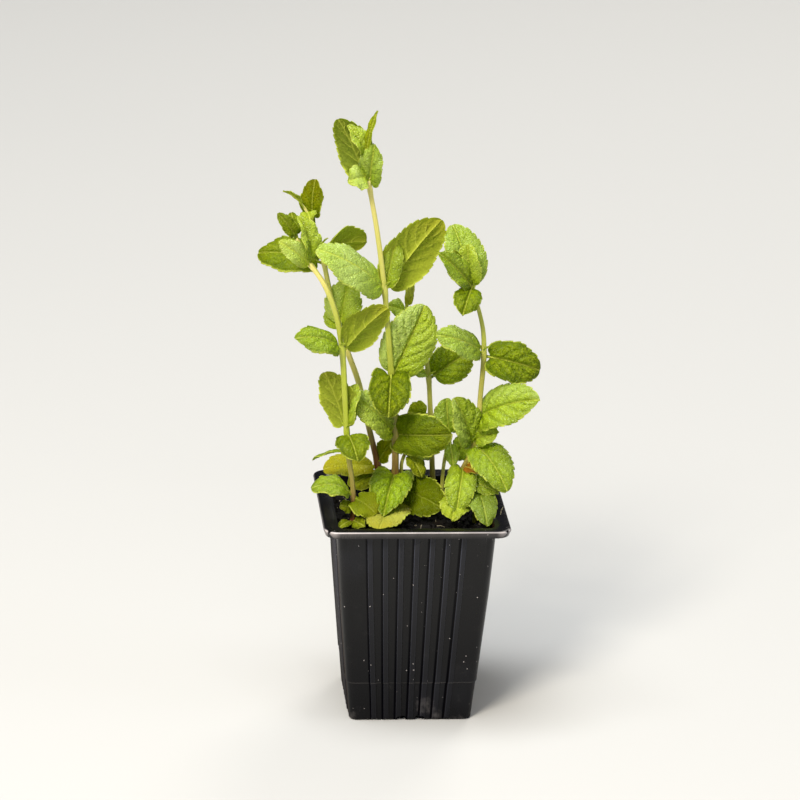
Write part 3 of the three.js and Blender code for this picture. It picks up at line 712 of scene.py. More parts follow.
def mint_leaf(look):
    """A mint blade: quilted green with pale veins, a paler underside and light coming through, with a
    painted sheen, painted shade in its quilting and furrows, and margins partly lit by painted rim light.
    """
    graph = Graph("mint_leaf")
    place = graph.place()
    spot = graph.values("leaf_place")
    lines = graph.values("leaf_lines")
    kind = graph.values("leaf_kind")
    depth = graph.values("leaf_relief").part(0)
    glaze = graph.values("leaf_relief").part(1)
    gloss = graph.values("leaf_relief").part(2)
    length_share = spot.part(0)
    side_share = abs(spot.part(1))
    under = spot.part(2)
    vein_phase = lines.part(0)
    rib_distance = lines.part(1)
    relief = lines.part(2)
    lightness = kind.part(0)
    yellowness = kind.part(1)
    paleness_and_sheen = kind.part(2)

    mottle = graph.noise(place, 170.0, 4.0, 0.6)
    broad = graph.noise(place, 45.0, 2.0)
    net = graph.cells(place, 800.0, "DISTANCE_TO_EDGE")

    wiggle = (graph.noise(place, 320.0, 2.0) - 0.5) * 0.16
    phase = (vein_phase + wiggle).fraction()
    off_vein = 0.5 - abs(phase - 0.5)
    side_vein = off_vein.rise(0.0, 0.07, 1.0, 0.0) * side_share.rise(0.95, 0.3)
    furrow = off_vein.rise(0.02, 0.15, 1.0, 0.0) * side_share.rise(1.0, 0.6) * (1 - under) * depth
    rib_width = 0.75 - length_share * 0.5
    midrib = rib_distance.rise(0.15, 0.65, 1.0, 0.0) * rib_width.rise(0.0, 0.4) * (0.3 + depth * 0.7)
    small_vein = net.rise(0.0, 0.1, 1.0, 0.0)
    margin = side_share.rise(0.92, 0.985)

    patchy = (mottle - 0.5) * 0.4 + (broad - 0.5) * 0.4
    # Painted shade and light: on the upper side the hollows of the quilting are darker and its puffs
    # lighter; beneath, a little the other way.
    shaded = lightness + patchy + (relief - 0.55) * (0.6 - under * 0.75) * depth
    green = graph.mix(shaded.held(), look.dark_green, look.light_green)
    turning = yellowness * (0.3 + broad * 0.8 + length_share * 0.45) + length_share.rise(0.8, 1.05) * 0.1
    turned = graph.mix(turning.held(), green, graph.mix(shaded.held(), look.dark_yellow, look.yellow))
    withered = graph.mix(((yellowness - 1) * (0.5 + broad)).held(), turned, look.rust)
    # Painted sheen: pale colour standing in for light glancing off the leaf, weakest at the blade's foot and
    # strongest past its middle, and over one whole half where a leaf has a sheen half.
    sheen_along = paleness_and_sheen * length_share.rise(0.05, 0.55, 0.2, 1.0) * length_share.rise(0.6, 1.0, 1.0, 0.5)
    sheen = sheen_along + (spot.part(1) * glaze).rise(0.0, 0.2) * abs(glaze)
    sheened = graph.mix((sheen * 0.55 * (0.5 + mottle)).held(), withered, look.paleness_and_sheen)
    beneath = graph.mix(under * 0.12, sheened, look.paleness_and_sheen)
    # Painted shade: the upper side is darker in the furrows along its side veins and along the fine net of
    # small veins.
    furrowed = graph.mix(furrow * 0.24 + small_vein * (1 - under) * 0.15, beneath, look.dark_green)
    # The veins' own paleness, which the painted sheen makes paler still.
    pale = midrib * (0.48 + sheen * 0.3 - under * 0.22) + side_vein * (0.18 + under * 0.5 + sheen * 0.25)
    veined = graph.mix((pale + small_vein * under * 0.16).held(), furrowed, look.vein)
    # The margin is paler: partly the leaf's own pale edge, partly painted rim light.
    colour = graph.mix(margin * mottle.rise(0.3, 0.62) * 0.95, veined, look.vein)

    fine = graph.noise(place, 900.0, 2.0)
    puffs = net.rise(0.0, 0.4)
    normal = graph.bump(puffs * (1 - under * 0.6) * 0.6 + fine * 0.4, 0.00044, 1.0)
    shared = {"Base Color": colour, "Normal": normal}
    roughness = 0.26 + mottle * 0.12 + under * 0.24
    glossy = graph.surface({**shared, "Roughness": roughness, "IOR": 1.42, "Specular IOR Level": 0.6})
    matt = graph.surface({**shared, "Roughness": 0.8, "Specular IOR Level": 0.0})
    skin = graph.layer(gloss, matt, glossy)
    light = {"Color": (0.5, 0.66, 0.004, 1.0), "Normal": normal}
    through = graph.add("ShaderNodeBsdfTranslucent", {}, light)
    return graph.finish(graph.layer(0.4 - midrib * 0.2, skin, through))


def mint_stem(look):
    """A stem that is reddish at its foot, green above and pale where it is young."""
    graph = Graph("mint_stem")
    place = graph.place()
    kind = graph.values("leaf_kind")
    pale = kind.part(0)
    red = kind.part(1)
    streaks = graph.noise(graph.stretched(place, (1500, 1500, 90)), 1.0, 4.0)
    blotches = graph.noise(place, 160.0, 3.0)
    young = graph.mix((pale + (blotches - 0.5) * 0.3).held(), look.stem_green, look.stem_pale)
    amount = (red * (0.6 + streaks * 0.9)).held()
    colour = graph.mix(amount, young, look.stem_red)
    normal = graph.bump(streaks, 0.00012, 0.6)
    skin = graph.surface(
        {
            "Base Color": colour,
            "Roughness": 0.42 + streaks * 0.15,
            "Normal": normal,
            "Subsurface Weight": 0.25,
            "Subsurface Radius": (0.002, 0.0018, 0.0006),
            "Subsurface Scale": 1.0,
        }
    )
    return graph.finish(skin)


def plain_floor(sizes):
    """A matt pale floor."""
    graph = Graph("stage_floor")
    place = graph.place()
    patches = graph.noise(place, 3.0, 4.0)
    colour = graph.mix(patches.rise(0.3, 0.8) * 0.06, sizes.floor, (0.5, 0.48, 0.46))
    return graph.finish(graph.surface({"Base Color": colour, "Roughness": 0.7 + patches * 0.1}))


def clear_selection():
    """Deselects everything."""
    bpy.ops.object.select_all(action="DESELECT")


def select_only(piece):
    """Selects one object alone and makes it active."""
    clear_selection()
    piece.select_set(True)
    bpy.context.view_layer.objects.active = piece


def point_outwards(piece):
    """Turns every face of a closed piece outwards."""
    select_only(piece)
    bpy.ops.object.mode_set(mode="EDIT")
    bpy.ops.mesh.select_all(action="SELECT")
    bpy.ops.mesh.normals_make_consistent(inside=False)
    bpy.ops.object.mode_set(mode="OBJECT")


def smooth_up_to(piece, degrees):
    """Shades a piece smooth, apart from edges sharper than an angle."""
    select_only(piece)
    bpy.ops.object.shade_smooth_by_angle(angle=math.radians(degrees))


def apply_modifier(piece, kind, settings):
    """Adds a modifier to a piece and applies it."""
    select_only(piece)
    modifier = piece.modifiers.new(kind.title(), kind)
    for name, value in settings.items():
        setattr(modifier, name, value)
    bpy.ops.object.modifier_apply(modifier=modifier.name)


def join_pieces(pieces):
    """Joins pieces into the first one."""
    clear_selection()
    for piece in pieces:
        piece.select_set(True)
    bpy.context.view_layer.objects.active = pieces[0]
    bpy.ops.object.join()
    return pieces[0]


def dress(piece, name, materials, slot, *nodes):
    """Names a finished piece, gives it its materials and sets it on the frame in place of its nodes."""
    piece.name = name
    piece.data.name = name
    for material in materials:
        if material.name not in piece.data.materials:
            piece.data.materials.append(material)
    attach(piece, "root")
    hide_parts(*nodes)


def blend(value, low, high, start, end):
    """A straight line from start at low to end at high."""
    return start + (end - start) * (value - low) / (high - low)


def wall_half(z, sizes):
    """Half the width of the pot's outer wall at a height, in millimetres."""
    if z < STEP_HEIGHT:
        return blend(z, 0, STEP_HEIGHT, sizes.bottom_half / MM, STEP_HALF - STEP_SIZE)
    if z < BEND_HEIGHT:
        return blend(z, STEP_HEIGHT, BEND_HEIGHT, STEP_HALF, BEND_HALF)
    return blend(z, BEND_HEIGHT, sizes.height / MM, BEND_HALF, sizes.top_half / MM)


def wall_corner(z, sizes):
    """The radius of the pot's corners at a height, in millimetres."""
    return blend(z, 0, sizes.height / MM, BOTTOM_CORNER, TOP_CORNER)


def rounded_square(half, corner, z):
    """Points round a square with rounded corners, in metres, in the order of their angle."""
    points = []
    for side in range(4):
        start = side * math.pi / 2
        centre = (half - corner) * math.sqrt(2)
        for step in range(CORNER_STEPS + 1):
            angle = start + step / CORNER_STEPS * math.pi / 2
            x = centre * math.cos(start + math.pi / 4) + corner * math.cos(angle)
            y = centre * math.sin(start + math.pi / 4) + corner * math.sin(angle)
            points.append(Vector((x, y, z)) * MM)
    return points


def set_ring(vertices, half, corner, z):
    """Puts a ring of vertices on a square with rounded corners."""
    ordered = sorted(vertices, key=lambda v: math.atan2(v.co.y, v.co.x) % math.tau)
    for vertex, point in zip(ordered, rounded_square(half, corner, z)):
        vertex.co = point


def extrude_end():
    """Extrudes the active piece's selected end upwards a little, and leaves the new end selected."""
    bpy.ops.object.mode_set(mode="EDIT")
    bpy.ops.mesh.extrude_region_move(TRANSFORM_OT_translate={"value": (0, 0, MM)})
    bpy.ops.object.mode_set(mode="OBJECT")


def flat_start(corners, radius):
    """A flat many-sided face in metres, selected, from which a piece is extruded."""
    clear_selection()
    bpy.ops.mesh.primitive_circle_add(vertices=corners, radius=radius, fill_type="NGON")
    piece = bpy.context.object
    for face in piece.data.polygons:
        face.select = True
    return piece


def pot_body(sizes):
    """The pot's walls, flange, lip and floor, extruded from its underside up, over and down again."""
    height = sizes.height / MM
    rim_half = sizes.rim_half / MM
    bottom_half = sizes.bottom_half / MM
    under_flange = height - FLANGE_THICKNESS

    def wall(z, inset=0.0):
        """A ring of the wall, or of its inside."""
        return (wall_half(z, sizes) - inset, wall_corner(z, sizes) - inset * CORNER_SHARE, z)

    rings = [
        wall(0.8),
        wall(UNDER_STEP),
        wall(OVER_STEP),
        wall(BEND_HEIGHT),
        wall(under_flange - 0.8),
        (wall_half(under_flange, sizes) + 0.6, TOP_CORNER, under_flange),
        (rim_half - 1.4, RIM_CORNER - 1.4, under_flange),
        (rim_half - 2, RIM_CORNER - 1.4, height - LIP_DEPTH),
        (rim_half - 1, RIM_CORNER - 0.6, height - LIP_DEPTH),
        (rim_half - 0.03, RIM_CORNER, height - 1.15),
        (rim_half - 0.12, RIM_CORNER, height - 0.75),
        (rim_half - 0.32, RIM_CORNER - 0.1, height - 0.42),
        (rim_half - 0.62, RIM_CORNER - 0.3, height - 0.18),
        (rim_half - 1.0, RIM_CORNER - 0.5, height - 0.04),
        (rim_half - 1.4, RIM_CORNER - 0.8, height),
        (rim_half - FLANGE_WIDTH + 0.1, TOP_CORNER - 0.4, height - 0.05),
        (rim_half - FLANGE_WIDTH - 0.7, TOP_CORNER - 0.5, height - 0.3),
        (wall_half(height, sizes) - WALL, TOP_CORNER - 0.6, height - 1.1),
        wall(height - 3, WALL),
        wall(BEND_HEIGHT, WALL),
        wall(OVER_STEP, WALL),
        wall(UNDER_STEP, WALL),
        wall(FLOOR_THICKNESS, WALL),
    ]
    piece = flat_start(4 * (CORNER_STEPS + 1), bottom_half * MM)
    set_ring(piece.data.vertices, bottom_half - 0.7, BOTTOM_CORNER - 0.4, 0)
    for half, corner, z in rings:
        extrude_end()
        set_ring([v for v in piece.data.vertices if v.select], half, corner, z)
    piece.data.update()
    point_outwards(piece)
    return piece


def rib_section(place, z, sizes):
    """Points round a rib's section on the front wall at a height, in metres: a face with round edges."""
    half = wall_half(z, sizes)
    middle = place * RIB_PITCH * half / (sizes.top_half / MM)
    flat = RIB_WIDTH / 2 - RIB_PROUD
    profile = [(RIB_WIDTH / 2, -RIB_SUNK)]
    for step in range(RIB_EDGE_STEPS + 1):
        angle = math.pi / 2 * step / RIB_EDGE_STEPS
        profile.append((flat + RIB_PROUD * math.cos(angle), RIB_PROUD * math.sin(angle)))
    mirrored = [(-x, proud) for x, proud in reversed(profile)]
    return [Vector((middle + x, -(half + proud), z)) * MM for x, proud in profile + mirrored]


def make_rib(place, side, sizes):
    """One upright rib, extruded along the wall's taper and turned to its side of the pot."""
    piece = flat_start(2 * (RIB_EDGE_STEPS + 2), MM)
    corners = {vertex.index: vertex.index for vertex in piece.data.vertices}
    for z in (RIB_LOW, UNDER_STEP, OVER_STEP, BEND_HEIGHT, sizes.height / MM - RIB_UNDER_RIM):
        if z > RIB_LOW:
            extrude_end()
            corners = carry_corners(piece, corners)
        section = rib_section(place, z, sizes)
        for index, corner in corners.items():
            piece.data.vertices[index].co = section[corner]
    piece.data.transform(Matrix.Rotation(side * math.pi / 2, 4, "Z"))
    return piece


def carry_corners(piece, corners):
    """Which corner of the section each vertex of the new end has, from the vertex it was extruded from."""
    new = {vertex.index for vertex in piece.data.vertices if vertex.select}
    carried = {}
    for edge in piece.data.edges:
        for a, b in (edge.vertices, reversed(edge.vertices)):
            if a in new and b in corners:
                carried[a] = corners[b]
    return carried


def make_notches_and_holes(sizes):
    """The cutters of the drain notches along the bottom edges and of the drain holes in the floor."""
    cutters = []
    for side in range(4):
        turn = Matrix.Rotation(side * math.pi / 2, 4, "Z")
        for offset in (-NOTCH_OFFSET, NOTCH_OFFSET):
            clear_selection()
            bpy.ops.mesh.primitive_cube_add(size=1)
            piece = bpy.context.object
            size = Vector((NOTCH_WIDTH, NOTCH_LENGTH, 2 * NOTCH_HEIGHT)) * MM
            piece.data.transform(Matrix.Diagonal((*size, 1)))
            apply_modifier(piece, "BEVEL", {"width": NOTCH_ROUNDING * MM, "segments": 4})
            piece.data.transform(Matrix.Translation((offset * MM, MM - sizes.bottom_half, 0)))
            piece.data.transform(turn)
            cutters.append(piece)
        clear_selection()
        bpy.ops.mesh.primitive_cylinder_add(vertices=24, radius=DRAIN_RADIUS * MM, depth=DRAIN_LENGTH * MM)
        piece = bpy.context.object
        piece.data.transform(Matrix.Translation((DRAIN_OFFSET * MM, DRAIN_OFFSET * MM, 0)))
        piece.data.transform(turn)
        cutters.append(piece)
    return join_pieces(cutters)


def combine(piece, other, operation):
    """Adds another piece to this one, or cuts it out, and removes the other."""
    apply_modifier(piece, "BOOLEAN", {"object": other, "operation": operation, "solver": "EXACT"})
    bpy.data.objects.remove(other)


def make_pot(sizes):
    """The whole pot."""
    piece = pot_body(sizes)
    places = [(place, side) for side in range(4) for place in range(-RIB_REACH, RIB_REACH + 1)]
    all_ribs = join_pieces([make_rib(place, side, sizes) for place, side in places])
    point_outwards(all_ribs)
    combine(piece, all_ribs, "UNION")
    combine(piece, make_notches_and_holes(sizes), "DIFFERENCE")
    smooth_up_to(piece, POT_CREASE)
    dress(piece, "nursery_pot", [pot_plastic(sizes)], "pot_plastic", "pot")


def surface_height(x, y, level):
    """The height of the compost's surface at a place, in millimetres."""
    broad = 0.8 * math.sin(0.11 * x + 0.9) * math.cos(0.13 * y - 0.5)
    middle = 0.55 * math.sin(0.37 * x - 0.22 * y + 1.7)
    fine = 0.45 * math.cos(0.61 * y + 0.28 * x)
    crumbly = 0.9 * noise.fractal(Vector((x * 0.35, y * 0.35, 3.0)), 0.8, 2.1, 5)
    return level + broad + middle + fine + crumbly


def keep_in_rounded_square(x, y, half, corner):
    """Moves a place in a square's corner onto the corner's arc if it lies beyond it."""
    inner = half - corner
    over_x = abs(x) - inner
    over_y = abs(y) - inner
    if over_x <= 0 or over_y <= 0:
        return x, y
    reach = max(over_x, over_y)
    length = math.hypot(over_x, over_y)
    scale = reach / length
    return math.copysign(inner + over_x * scale, x), math.copysign(inner + over_y * scale, y)


def compost_body(sizes, pot):
    """The compost as one block: a lumpy surface whose edge is extruded down the pot's inside."""
    level = sizes.level / MM
    inset = WALL + GAP
    half = wall_half(level, pot) - inset
    corner = wall_corner(level, pot) - inset * CORNER_SHARE
    clear_selection()
    size = 2 * half * MM
    bpy.ops.mesh.primitive_grid_add(x_subdivisions=SURFACE_STEPS, y_subdivisions=SURFACE_STEPS, size=size)
    piece = bpy.context.object
    for vertex in piece.data.vertices:
        x, y = keep_in_rounded_square(vertex.co.x / MM, vertex.co.y / MM, half, corner)
        vertex.co = Vector((x, y, surface_height(x, y, level))) * MM
    edge_places = []
    bpy.ops.object.mode_set(mode="EDIT")
    bpy.ops.mesh.select_mode(type="EDGE")
    bpy.ops.mesh.select_all(action="SELECT")
    bpy.ops.mesh.region_to_loop()
    for z in (BEND_HEIGHT, OVER_STEP, UNDER_STEP, FLOOR_THICKNESS + GAP):
        bpy.ops.mesh.extrude_edges_move(TRANSFORM_OT_translate={"value": (0, 0, 0)})
        bpy.ops.object.mode_set(mode="OBJECT")
        chosen = [v for v in piece.data.vertices if v.select]
        edge_places = edge_places or [v.co.copy() for v in chosen]
        scale = (wall_half(z, pot) - inset) / half
        for vertex, place in zip(chosen, edge_places):
            vertex.co = Vector((place.x * scale, place.y * scale, z * MM))
        bpy.ops.object.mode_set(mode="EDIT")
    bpy.ops.mesh.edge_face_add()
    bpy.ops.object.mode_set(mode="OBJECT")
    point_outwards(piece)
    return piece


def scatter_place(dice, reach):
    """A random place on the compost's surface, in millimetres."""
    return dice.uniform(-reach, reach), dice.uniform(-reach, reach)


def add_crumb(shape, dice, level, reach):
    """One angular crumb that rests on the surface: a solid of twenty faces with its corners moved about."""
    x, y = scatter_place(dice, reach)
    radius = dice.uniform(0.3, 0.8) if dice.random() < 0.85 else dice.uniform(0.8, 1.3)
    slot = 1 if dice.random() < 0.06 else 0
    centre = Vector((x, y, surface_height(x, y, level) + radius * 0.3))
    turn = Euler([dice.uniform(0, math.tau) for _ in range(3)]).to_matrix()
    stretch = Vector((dice.uniform(0.7, 1.3), dice.uniform(0.7, 1.2), dice.uniform(0.5, 0.9)))
    golden = (1 + math.sqrt(5)) / 2
    corners = []
    for a in (-1, 1):
        for b in (-golden, golden):
            corners.extend([(a, b, 0), (0, a, b), (b, 0, a)])
    start = len(shape.points)
    for corner in corners:
        rough = Vector(corner).normalized() * radius * dice.uniform(0.8, 1.2)
        shape.add_point(centre + turn @ (rough * stretch))
    shape.hull(start, slot)


def add_fibre(shape, ends, rise, thickness):
    """One thin bent fibre from end to end, with five sides."""
    first, last = (Vector(end) for end in ends)
    steps = 9
    across = (last - first).cross(Vector((0, 0, 1))).normalized()
    rings = []
    for step in range(steps + 1):
        share = step / steps
        centre = first.lerp(last, share)
        centre.z += rise * math.sin(math.pi * share)
        centre += across * rise * 0.6 * math.sin(1.7 * math.pi * share)
        radius = thickness * (0.5 + 0.5 * math.sin(math.pi * (0.1 + 0.8 * share)))
        ring = []
        for corner in range(5):
            angle = math.tau * corner / 5
            offset = across * math.cos(angle) * radius + Vector((0, 0, 1)) * math.sin(angle) * radius
            ring.append(centre + offset)
        rings.append(ring)
    shape.loft(rings, 1)


def make_compost(sizes, pot):
    """The compost with its crumbs and fibres."""
    dice = random.Random(COMPOST_SEED)
    body = compost_body(sizes, pot)
    level = sizes.level / MM
    reach = wall_half(level, pot) - WALL - GAP - CRUMB_MARGIN
    loose = Shape()
    for _ in range(sizes.crumbs):
        add_crumb(loose, dice, level, reach)
    for _ in range(sizes.fibres):
        x, y = scatter_place(dice, reach - FIBRE_MARGIN)
        angle = dice.uniform(0, math.tau)
        length = dice.uniform(1.5, 5.5)
        ends = []
        for share in (-0.5, 0.5):
            end_x = x + math.cos(angle) * length * share
            end_y = y + math.sin(angle) * length * share
            ends.append((end_x, end_y, surface_height(end_x, end_y, level) + 0.35))
        add_fibre(loose, ends, dice.uniform(0.1, 0.7), dice.uniform(0.1, 0.2))
    add_fibre(loose, RIM_STRAW, 0.5, 0.24)
    scraps = loose.piece("compost_scraps")
    materials = [peat(sizes), dry_fibre(sizes)]
    for part in (body, scraps):
        for material in materials:
            part.data.materials.append(material)
    piece = join_pieces([body, scraps])
    smooth_up_to(piece, COMPOST_CREASE)
    dress(piece, "pot_compost", materials, "compost", "compost")


class Shape:
    """The points and faces of a piece while it is made, in millimetres, with the values its points hold."""

    def __init__(self):
        self.points = []
        self.faces = []
        self.slots = []
        self.values = {name: [] for name in HELD_VALUES}

    def add_point(self, point, place=NOTHING, lines=NOTHING, kind=NOTHING, relief=NOTHING):
        """Adds a point and what it holds."""
        self.points.append(point)
        for values, value in zip(self.values.values(), (place, lines, kind, relief)):
            values.append(value)

    def add_face(self, corners, slot):
        """Adds a face."""
        self.faces.append(corners)
        self.slots.append(slot)

    def skin(self, start, rows, count, slot):
        """Joins rows of already added points into a closed skin with a cap at each end."""
        for row in range(rows - 1):
            for i in range(count):
                a = start + row * count + i
                b = start + row * count + (i + 1) % count
                self.add_face((a, b, b + count, a + count), slot)
        self.add_face(tuple(range(start + count - 1, start - 1, -1)), slot)
        last = start + (rows - 1) * count
        self.add_face(tuple(range(last, last + count)), slot)

    def loft(self, rings, slot):
        """Adds rings of points and joins them into a closed skin."""
        start = len(self.points)
        for ring in rings:
            for point in ring:
                self.add_point(point)
        self.skin(start, len(rings), len(rings[0]), slot)

    def hull(self, start, slot):
        """Closes the corners added from start with the triangles between those nearest to each other."""
        corners = self.points[start:]
        every = range(len(corners))
        reach = sorted((corners[a] - corners[b]).length for a in every for b in range(a))
        limit = reach[CRUMB_EDGES - 1] * 1.0001
        near = [[b for b in every if b != a and (corners[a] - corners[b]).length <= limit] for a in every]
        for a in every:
            for b in near[a]:
                for c in near[b]:
                    if a < b < c and c in near[a]:
                        self.add_face((start + a, start + b, start + c), slot)

    def piece(self, name, turn=0.0):
        """Makes the mesh object, turned about the upright axis and scaled to metres."""
        matrix = Matrix.Rotation(turn, 3, "Z") * MM
        mesh = bpy.data.meshes.new(name)
        mesh.from_pydata([matrix @ point for point in self.points], [], self.faces)
        mesh.polygons.foreach_set("material_index", self.slots)
        for key, values in self.values.items():
            attribute = mesh.attributes.new(key, "FLOAT_VECTOR", "POINT")
            attribute.data.foreach_set("vector", [number for value in values for number in value])
        mesh.update()
        piece = bpy.data.objects.new(name, mesh)
        bpy.context.scene.collection.objects.link(piece)
        point_outwards(piece)
        return piece


def stem_at(route, up):
    """Where a stem's centre line is at a height and half its width there, smoothly through its route."""
    low = 0
    while low < len(route) - 2 and up > route[low + 1][2]:
        low += 1
    a = route[low]
    b = route[low + 1]
    if up <= a[2]:
        return a[0], a[1], a[3]
    before = route[max(low - 1, 0)]
    after = route[min(low + 2, len(route) - 1)]
    span = b[2] - a[2]
    t = (up - a[2]) / span
    found = []
    for axis in (0, 1, 3):
        slope_a = 0 if low == 0 else (b[axis] - before[axis]) / (b[2] - before[2])
        slope_b = (after[axis] - a[axis]) / (after[2] - a[2])
        value = (2 * t**3 - 3 * t**2 + 1) * a[axis] + (t**3 - 2 * t**2 + t) * span * slope_a
        value += (3 * t**2 - 2 * t**3) * b[axis] + (t**3 - t**2) * span * slope_b
        found.append(value)
    return tuple(found)


def stem_colour(colours, up):
    """How pale and how red a stem is at a height."""
    up = min(max(up, colours[0][0]), colours[-1][0])
    for (low, red_a, pale_a), (high, red_b, pale_b) in zip(colours, colours[1:]):
        if up <= high:
            break
    return blend(up, low, high, pale_a, pale_b), blend(up, low, high, red_a, red_b), 0.0


def add_stem(shape, stem, foot, dice):
    """A square stem with rounded edges and hollowed sides, thicker at each node."""
    route = stem["route"]
    tip = route[-1][2]
    nodes = sorted({leaf["up"] for leaf in stem["leaves"]})
    rows = int((tip - foot) / STEM_ROW)
    start = len(shape.points)
    lean = dice.uniform(-0.2, 0.2)
    for row in range(rows + 1):
        up = foot + (tip - foot) * row / rows
        right, near, half = stem_at(route, up)
        kind = stem_colour(stem["colours"], up)
        swell = max(math.exp(-(((up - node) / 2.2) ** 2)) for node in nodes)
        ending = min(1.0, (tip - up + 0.4) / 2.0)
        for corner in range(STEM_SIDES):
            angle = math.tau * corner / STEM_SIDES
            edge = abs(math.cos(2 * (angle + math.pi / 4)))
            radius = half * (1.02 + 0.2 * edge**1.5) * (1 + 0.2 * swell) * ending**0.5
            x = radius * math.cos(angle + lean)
            y = radius * math.sin(angle + lean)
            shape.add_point(Vector((right + x, -near + y, up)), kind=kind)
    shape.skin(start, rows + 1, STEM_SIDES, 0)


def leaf_frame(route, leaf):
    """A leaf's foot in the stem, its length, and its directions along, across and up from the blade."""
    right, near, _ = stem_at(route, leaf["up"])
    base = Vector((right, -near, leaf["up"]))
    tip = Vector((leaf["tip"][0], -leaf["tip"][1], leaf["tip"][2]))
    along = tip - base
    length = along.length
    along.normalize()
    looks = Vector((leaf["faces"][0], -leaf["faces"][1], leaf["faces"][2]))
    across = along.cross(looks).normalized()
    return base, length, along, across, across.cross(along)


def tooth_fringe(blade, rising):
    """How far a leaf's tooth stands out, as a share of its size: less near both ends of the blade."""
    return math.sin(rising * math.pi / 2) ** 0.8 * min(1.0, blade * 9) * min(1.0, (1 - blade) * 9 + 0.3)


class LeafForm:
    """The form of one leaf in its own frame, in millimetres, with what chance makes of it.

    A place is given by t, which runs from -1 at the stalk's foot over 0 at the blade's to 1 at its tip, and
    by its share of the half width, from -1 on the left margin to 1 on the right. The blade value is t on the
    blade and 0 on the stalk, aside is the share without its sign, and distance is measured from the midrib.
    """

    def __init__(self, leaf, length, look, dice):
        self.leaf = leaf
        self.length = length
        self.width = leaf["width"]
        self.fold = math.radians(leaf["fold"])
        self.stalk = min(3.0, length * 0.2) / length
        blade_length = length * (1 - self.stalk)
        self.teeth = max(5, min(12, round(blade_length / 3.4)))
        self.veins = max(4, min(6, round(blade_length / 6.4)))
        self.lean = 0.55 * self.width / blade_length
        self.columns = max(7, min(22, round(self.width)))
        self.seed = dice.uniform(0, 100)
        self.wave_count = dice.uniform(1.6, 2.6)
        self.wave_start = [dice.uniform(0, math.tau) for _ in range(2)]
        self.twist = math.radians(dice.uniform(-7, 7))
        self.quilt = look.quilt / MM * min(1.0, self.width / 18) * leaf["puff"]
        self.thickness = look.blade / MM
        self.tooth = min(0.75, 0.04 * self.width)
        self.small = min(1.0, self.width / 12)

    def rows(self):
        """Where the rows of points lie from the stalk to the tip, and how far a tooth has risen at each."""
        rows = [(-1 + step / 4, 0.0) for step in range(4)]
        for tooth in range(self.teeth):
            for step in TOOTH_STEPS:
                rows.append(((tooth + step) / self.teeth, step / TOOTH_STEPS[-1]))
        rows.append((0.993, 0.0))
        return rows

    def half_at(self, blade):
        """Half the width without the teeth."""
        shape = math.sin(math.pi * min(blade, 1.0) ** 0.88) ** 0.58
        half = self.width / 2 * shape * (1 - self.leaf["point"] * blade**3)
        return max(half, 0.8 * min(1.0, self.small + 0.3))

    def quilting(self, blade, share, side, place, out):
        """Which side vein a point is at, and how far the blade stands up there, from 0 on its veins to 1."""
        offset = 0.3 * side + self.seed
        phase = self.veins * (blade - self.lean * abs(share) ** 1.25) + offset
        between = abs(math.sin(math.pi * phase)) ** 0.55
        nearest = noise.voronoi(Vector((place * self.length / 1.5, out / 1.5, self.seed)))[0]
        inside = min(1.0, (nearest[1] - nearest[0]) / 0.45)
        return phase, between * 0.52 + inside * (2 - inside) * 0.5

    def form_at(self, blade, place, aside, side, half, distance):
        """How high the blade lies by its arch, its fold, and the belly, ripple and curl of its halves."""
        leaf = self.leaf
        rise = leaf["arch"] * self.length * 4 * place * (1 - place)
        lift = distance * math.sin(self.fold) * (1.15 - 0.3 * aside) * min(1.0, blade * 6)
        belly = 0.06 * half * math.sin(math.pi * aside) * min(1.0, blade * 5)
        start = self.wave_start[0 if side > 0 else 1]
        wave = math.sin(math.tau * self.wave_count * blade + start)
        ripple = leaf["wave"] * self.small * aside**2.5 * wave
        curl = leaf["curl"] * 0.12 * half * aside**4
        return rise + lift + belly + ripple - curl

    def thickness_at(self, blade, share, phase, distance):
        """How thick the leaf is: a round stalk, and a thin blade with a midrib and cords under its veins."""
        small = self.small
        if blade <= 0:
            return 1.35 * small * math.sqrt(max(0.04, 1 - share * share))
        aside = abs(share)
        rib = 0.5 * small * math.exp(-((distance / 0.55) ** 2)) * (1 - 0.75 * blade)
        off_vein = 0.5 - abs(phase % 1.0 - 0.5)
        cord = 0.24 * small * math.exp(-((off_vein / 0.09) ** 2)) * (1 - aside) * min(1.0, blade * 8)
        return self.thickness * (1 - 0.35 * aside**3) + (rib + cord) * (1 - aside**8)

    def at(self, t, rising, share):
        """How far a point is along, across and up, how thick the leaf is there, and where its veins are."""
        leaf = self.leaf
        blade = max(t, 0.0)
        aside = abs(share)
        side = 1 if share >= 0 else -1
        half = self.half_at(blade)
        fringe = tooth_fringe(blade, rising)
        lobe = math.sin(math.pi * min(1.0, blade / 0.4) ** 0.6)
        back = leaf["lobes"] * aside * aside * lobe
        place = self.stalk * (1 - max(0.0, -t)) + (1 - self.stalk) * (blade - back)
        rim = max(0.0, (aside - 0.72) / 0.28) ** 2
        out = half * share + side * rim * self.tooth * fringe
        forward = rim * self.tooth * fringe * 0.55
        distance = abs(out)
        phase, puff = self.quilting(blade, share, side, place, out)
        fade = min(1.0, distance / 1.1) * (1 - aside**6) * min(1.0, blade * 12) * min(1.0, (1 - blade) * 7)
        groove = 0.3 * self.small * math.exp(-((distance / 0.75) ** 2)) * min(1.0, blade * 8)
        height = self.form_at(blade, place, aside, side, half, distance) + self.quilt * puff * fade - groove
        height -= leaf["set_back"] * math.sin(math.pi * min(1.0, place * 2.2) / 2) * (1 - place)
        thick = self.thickness_at(blade, share, phase, distance)
        lines = (phase, distance, puff * fade)
        return place * self.length + forward, out * math.cos(self.fold), height, thick, lines


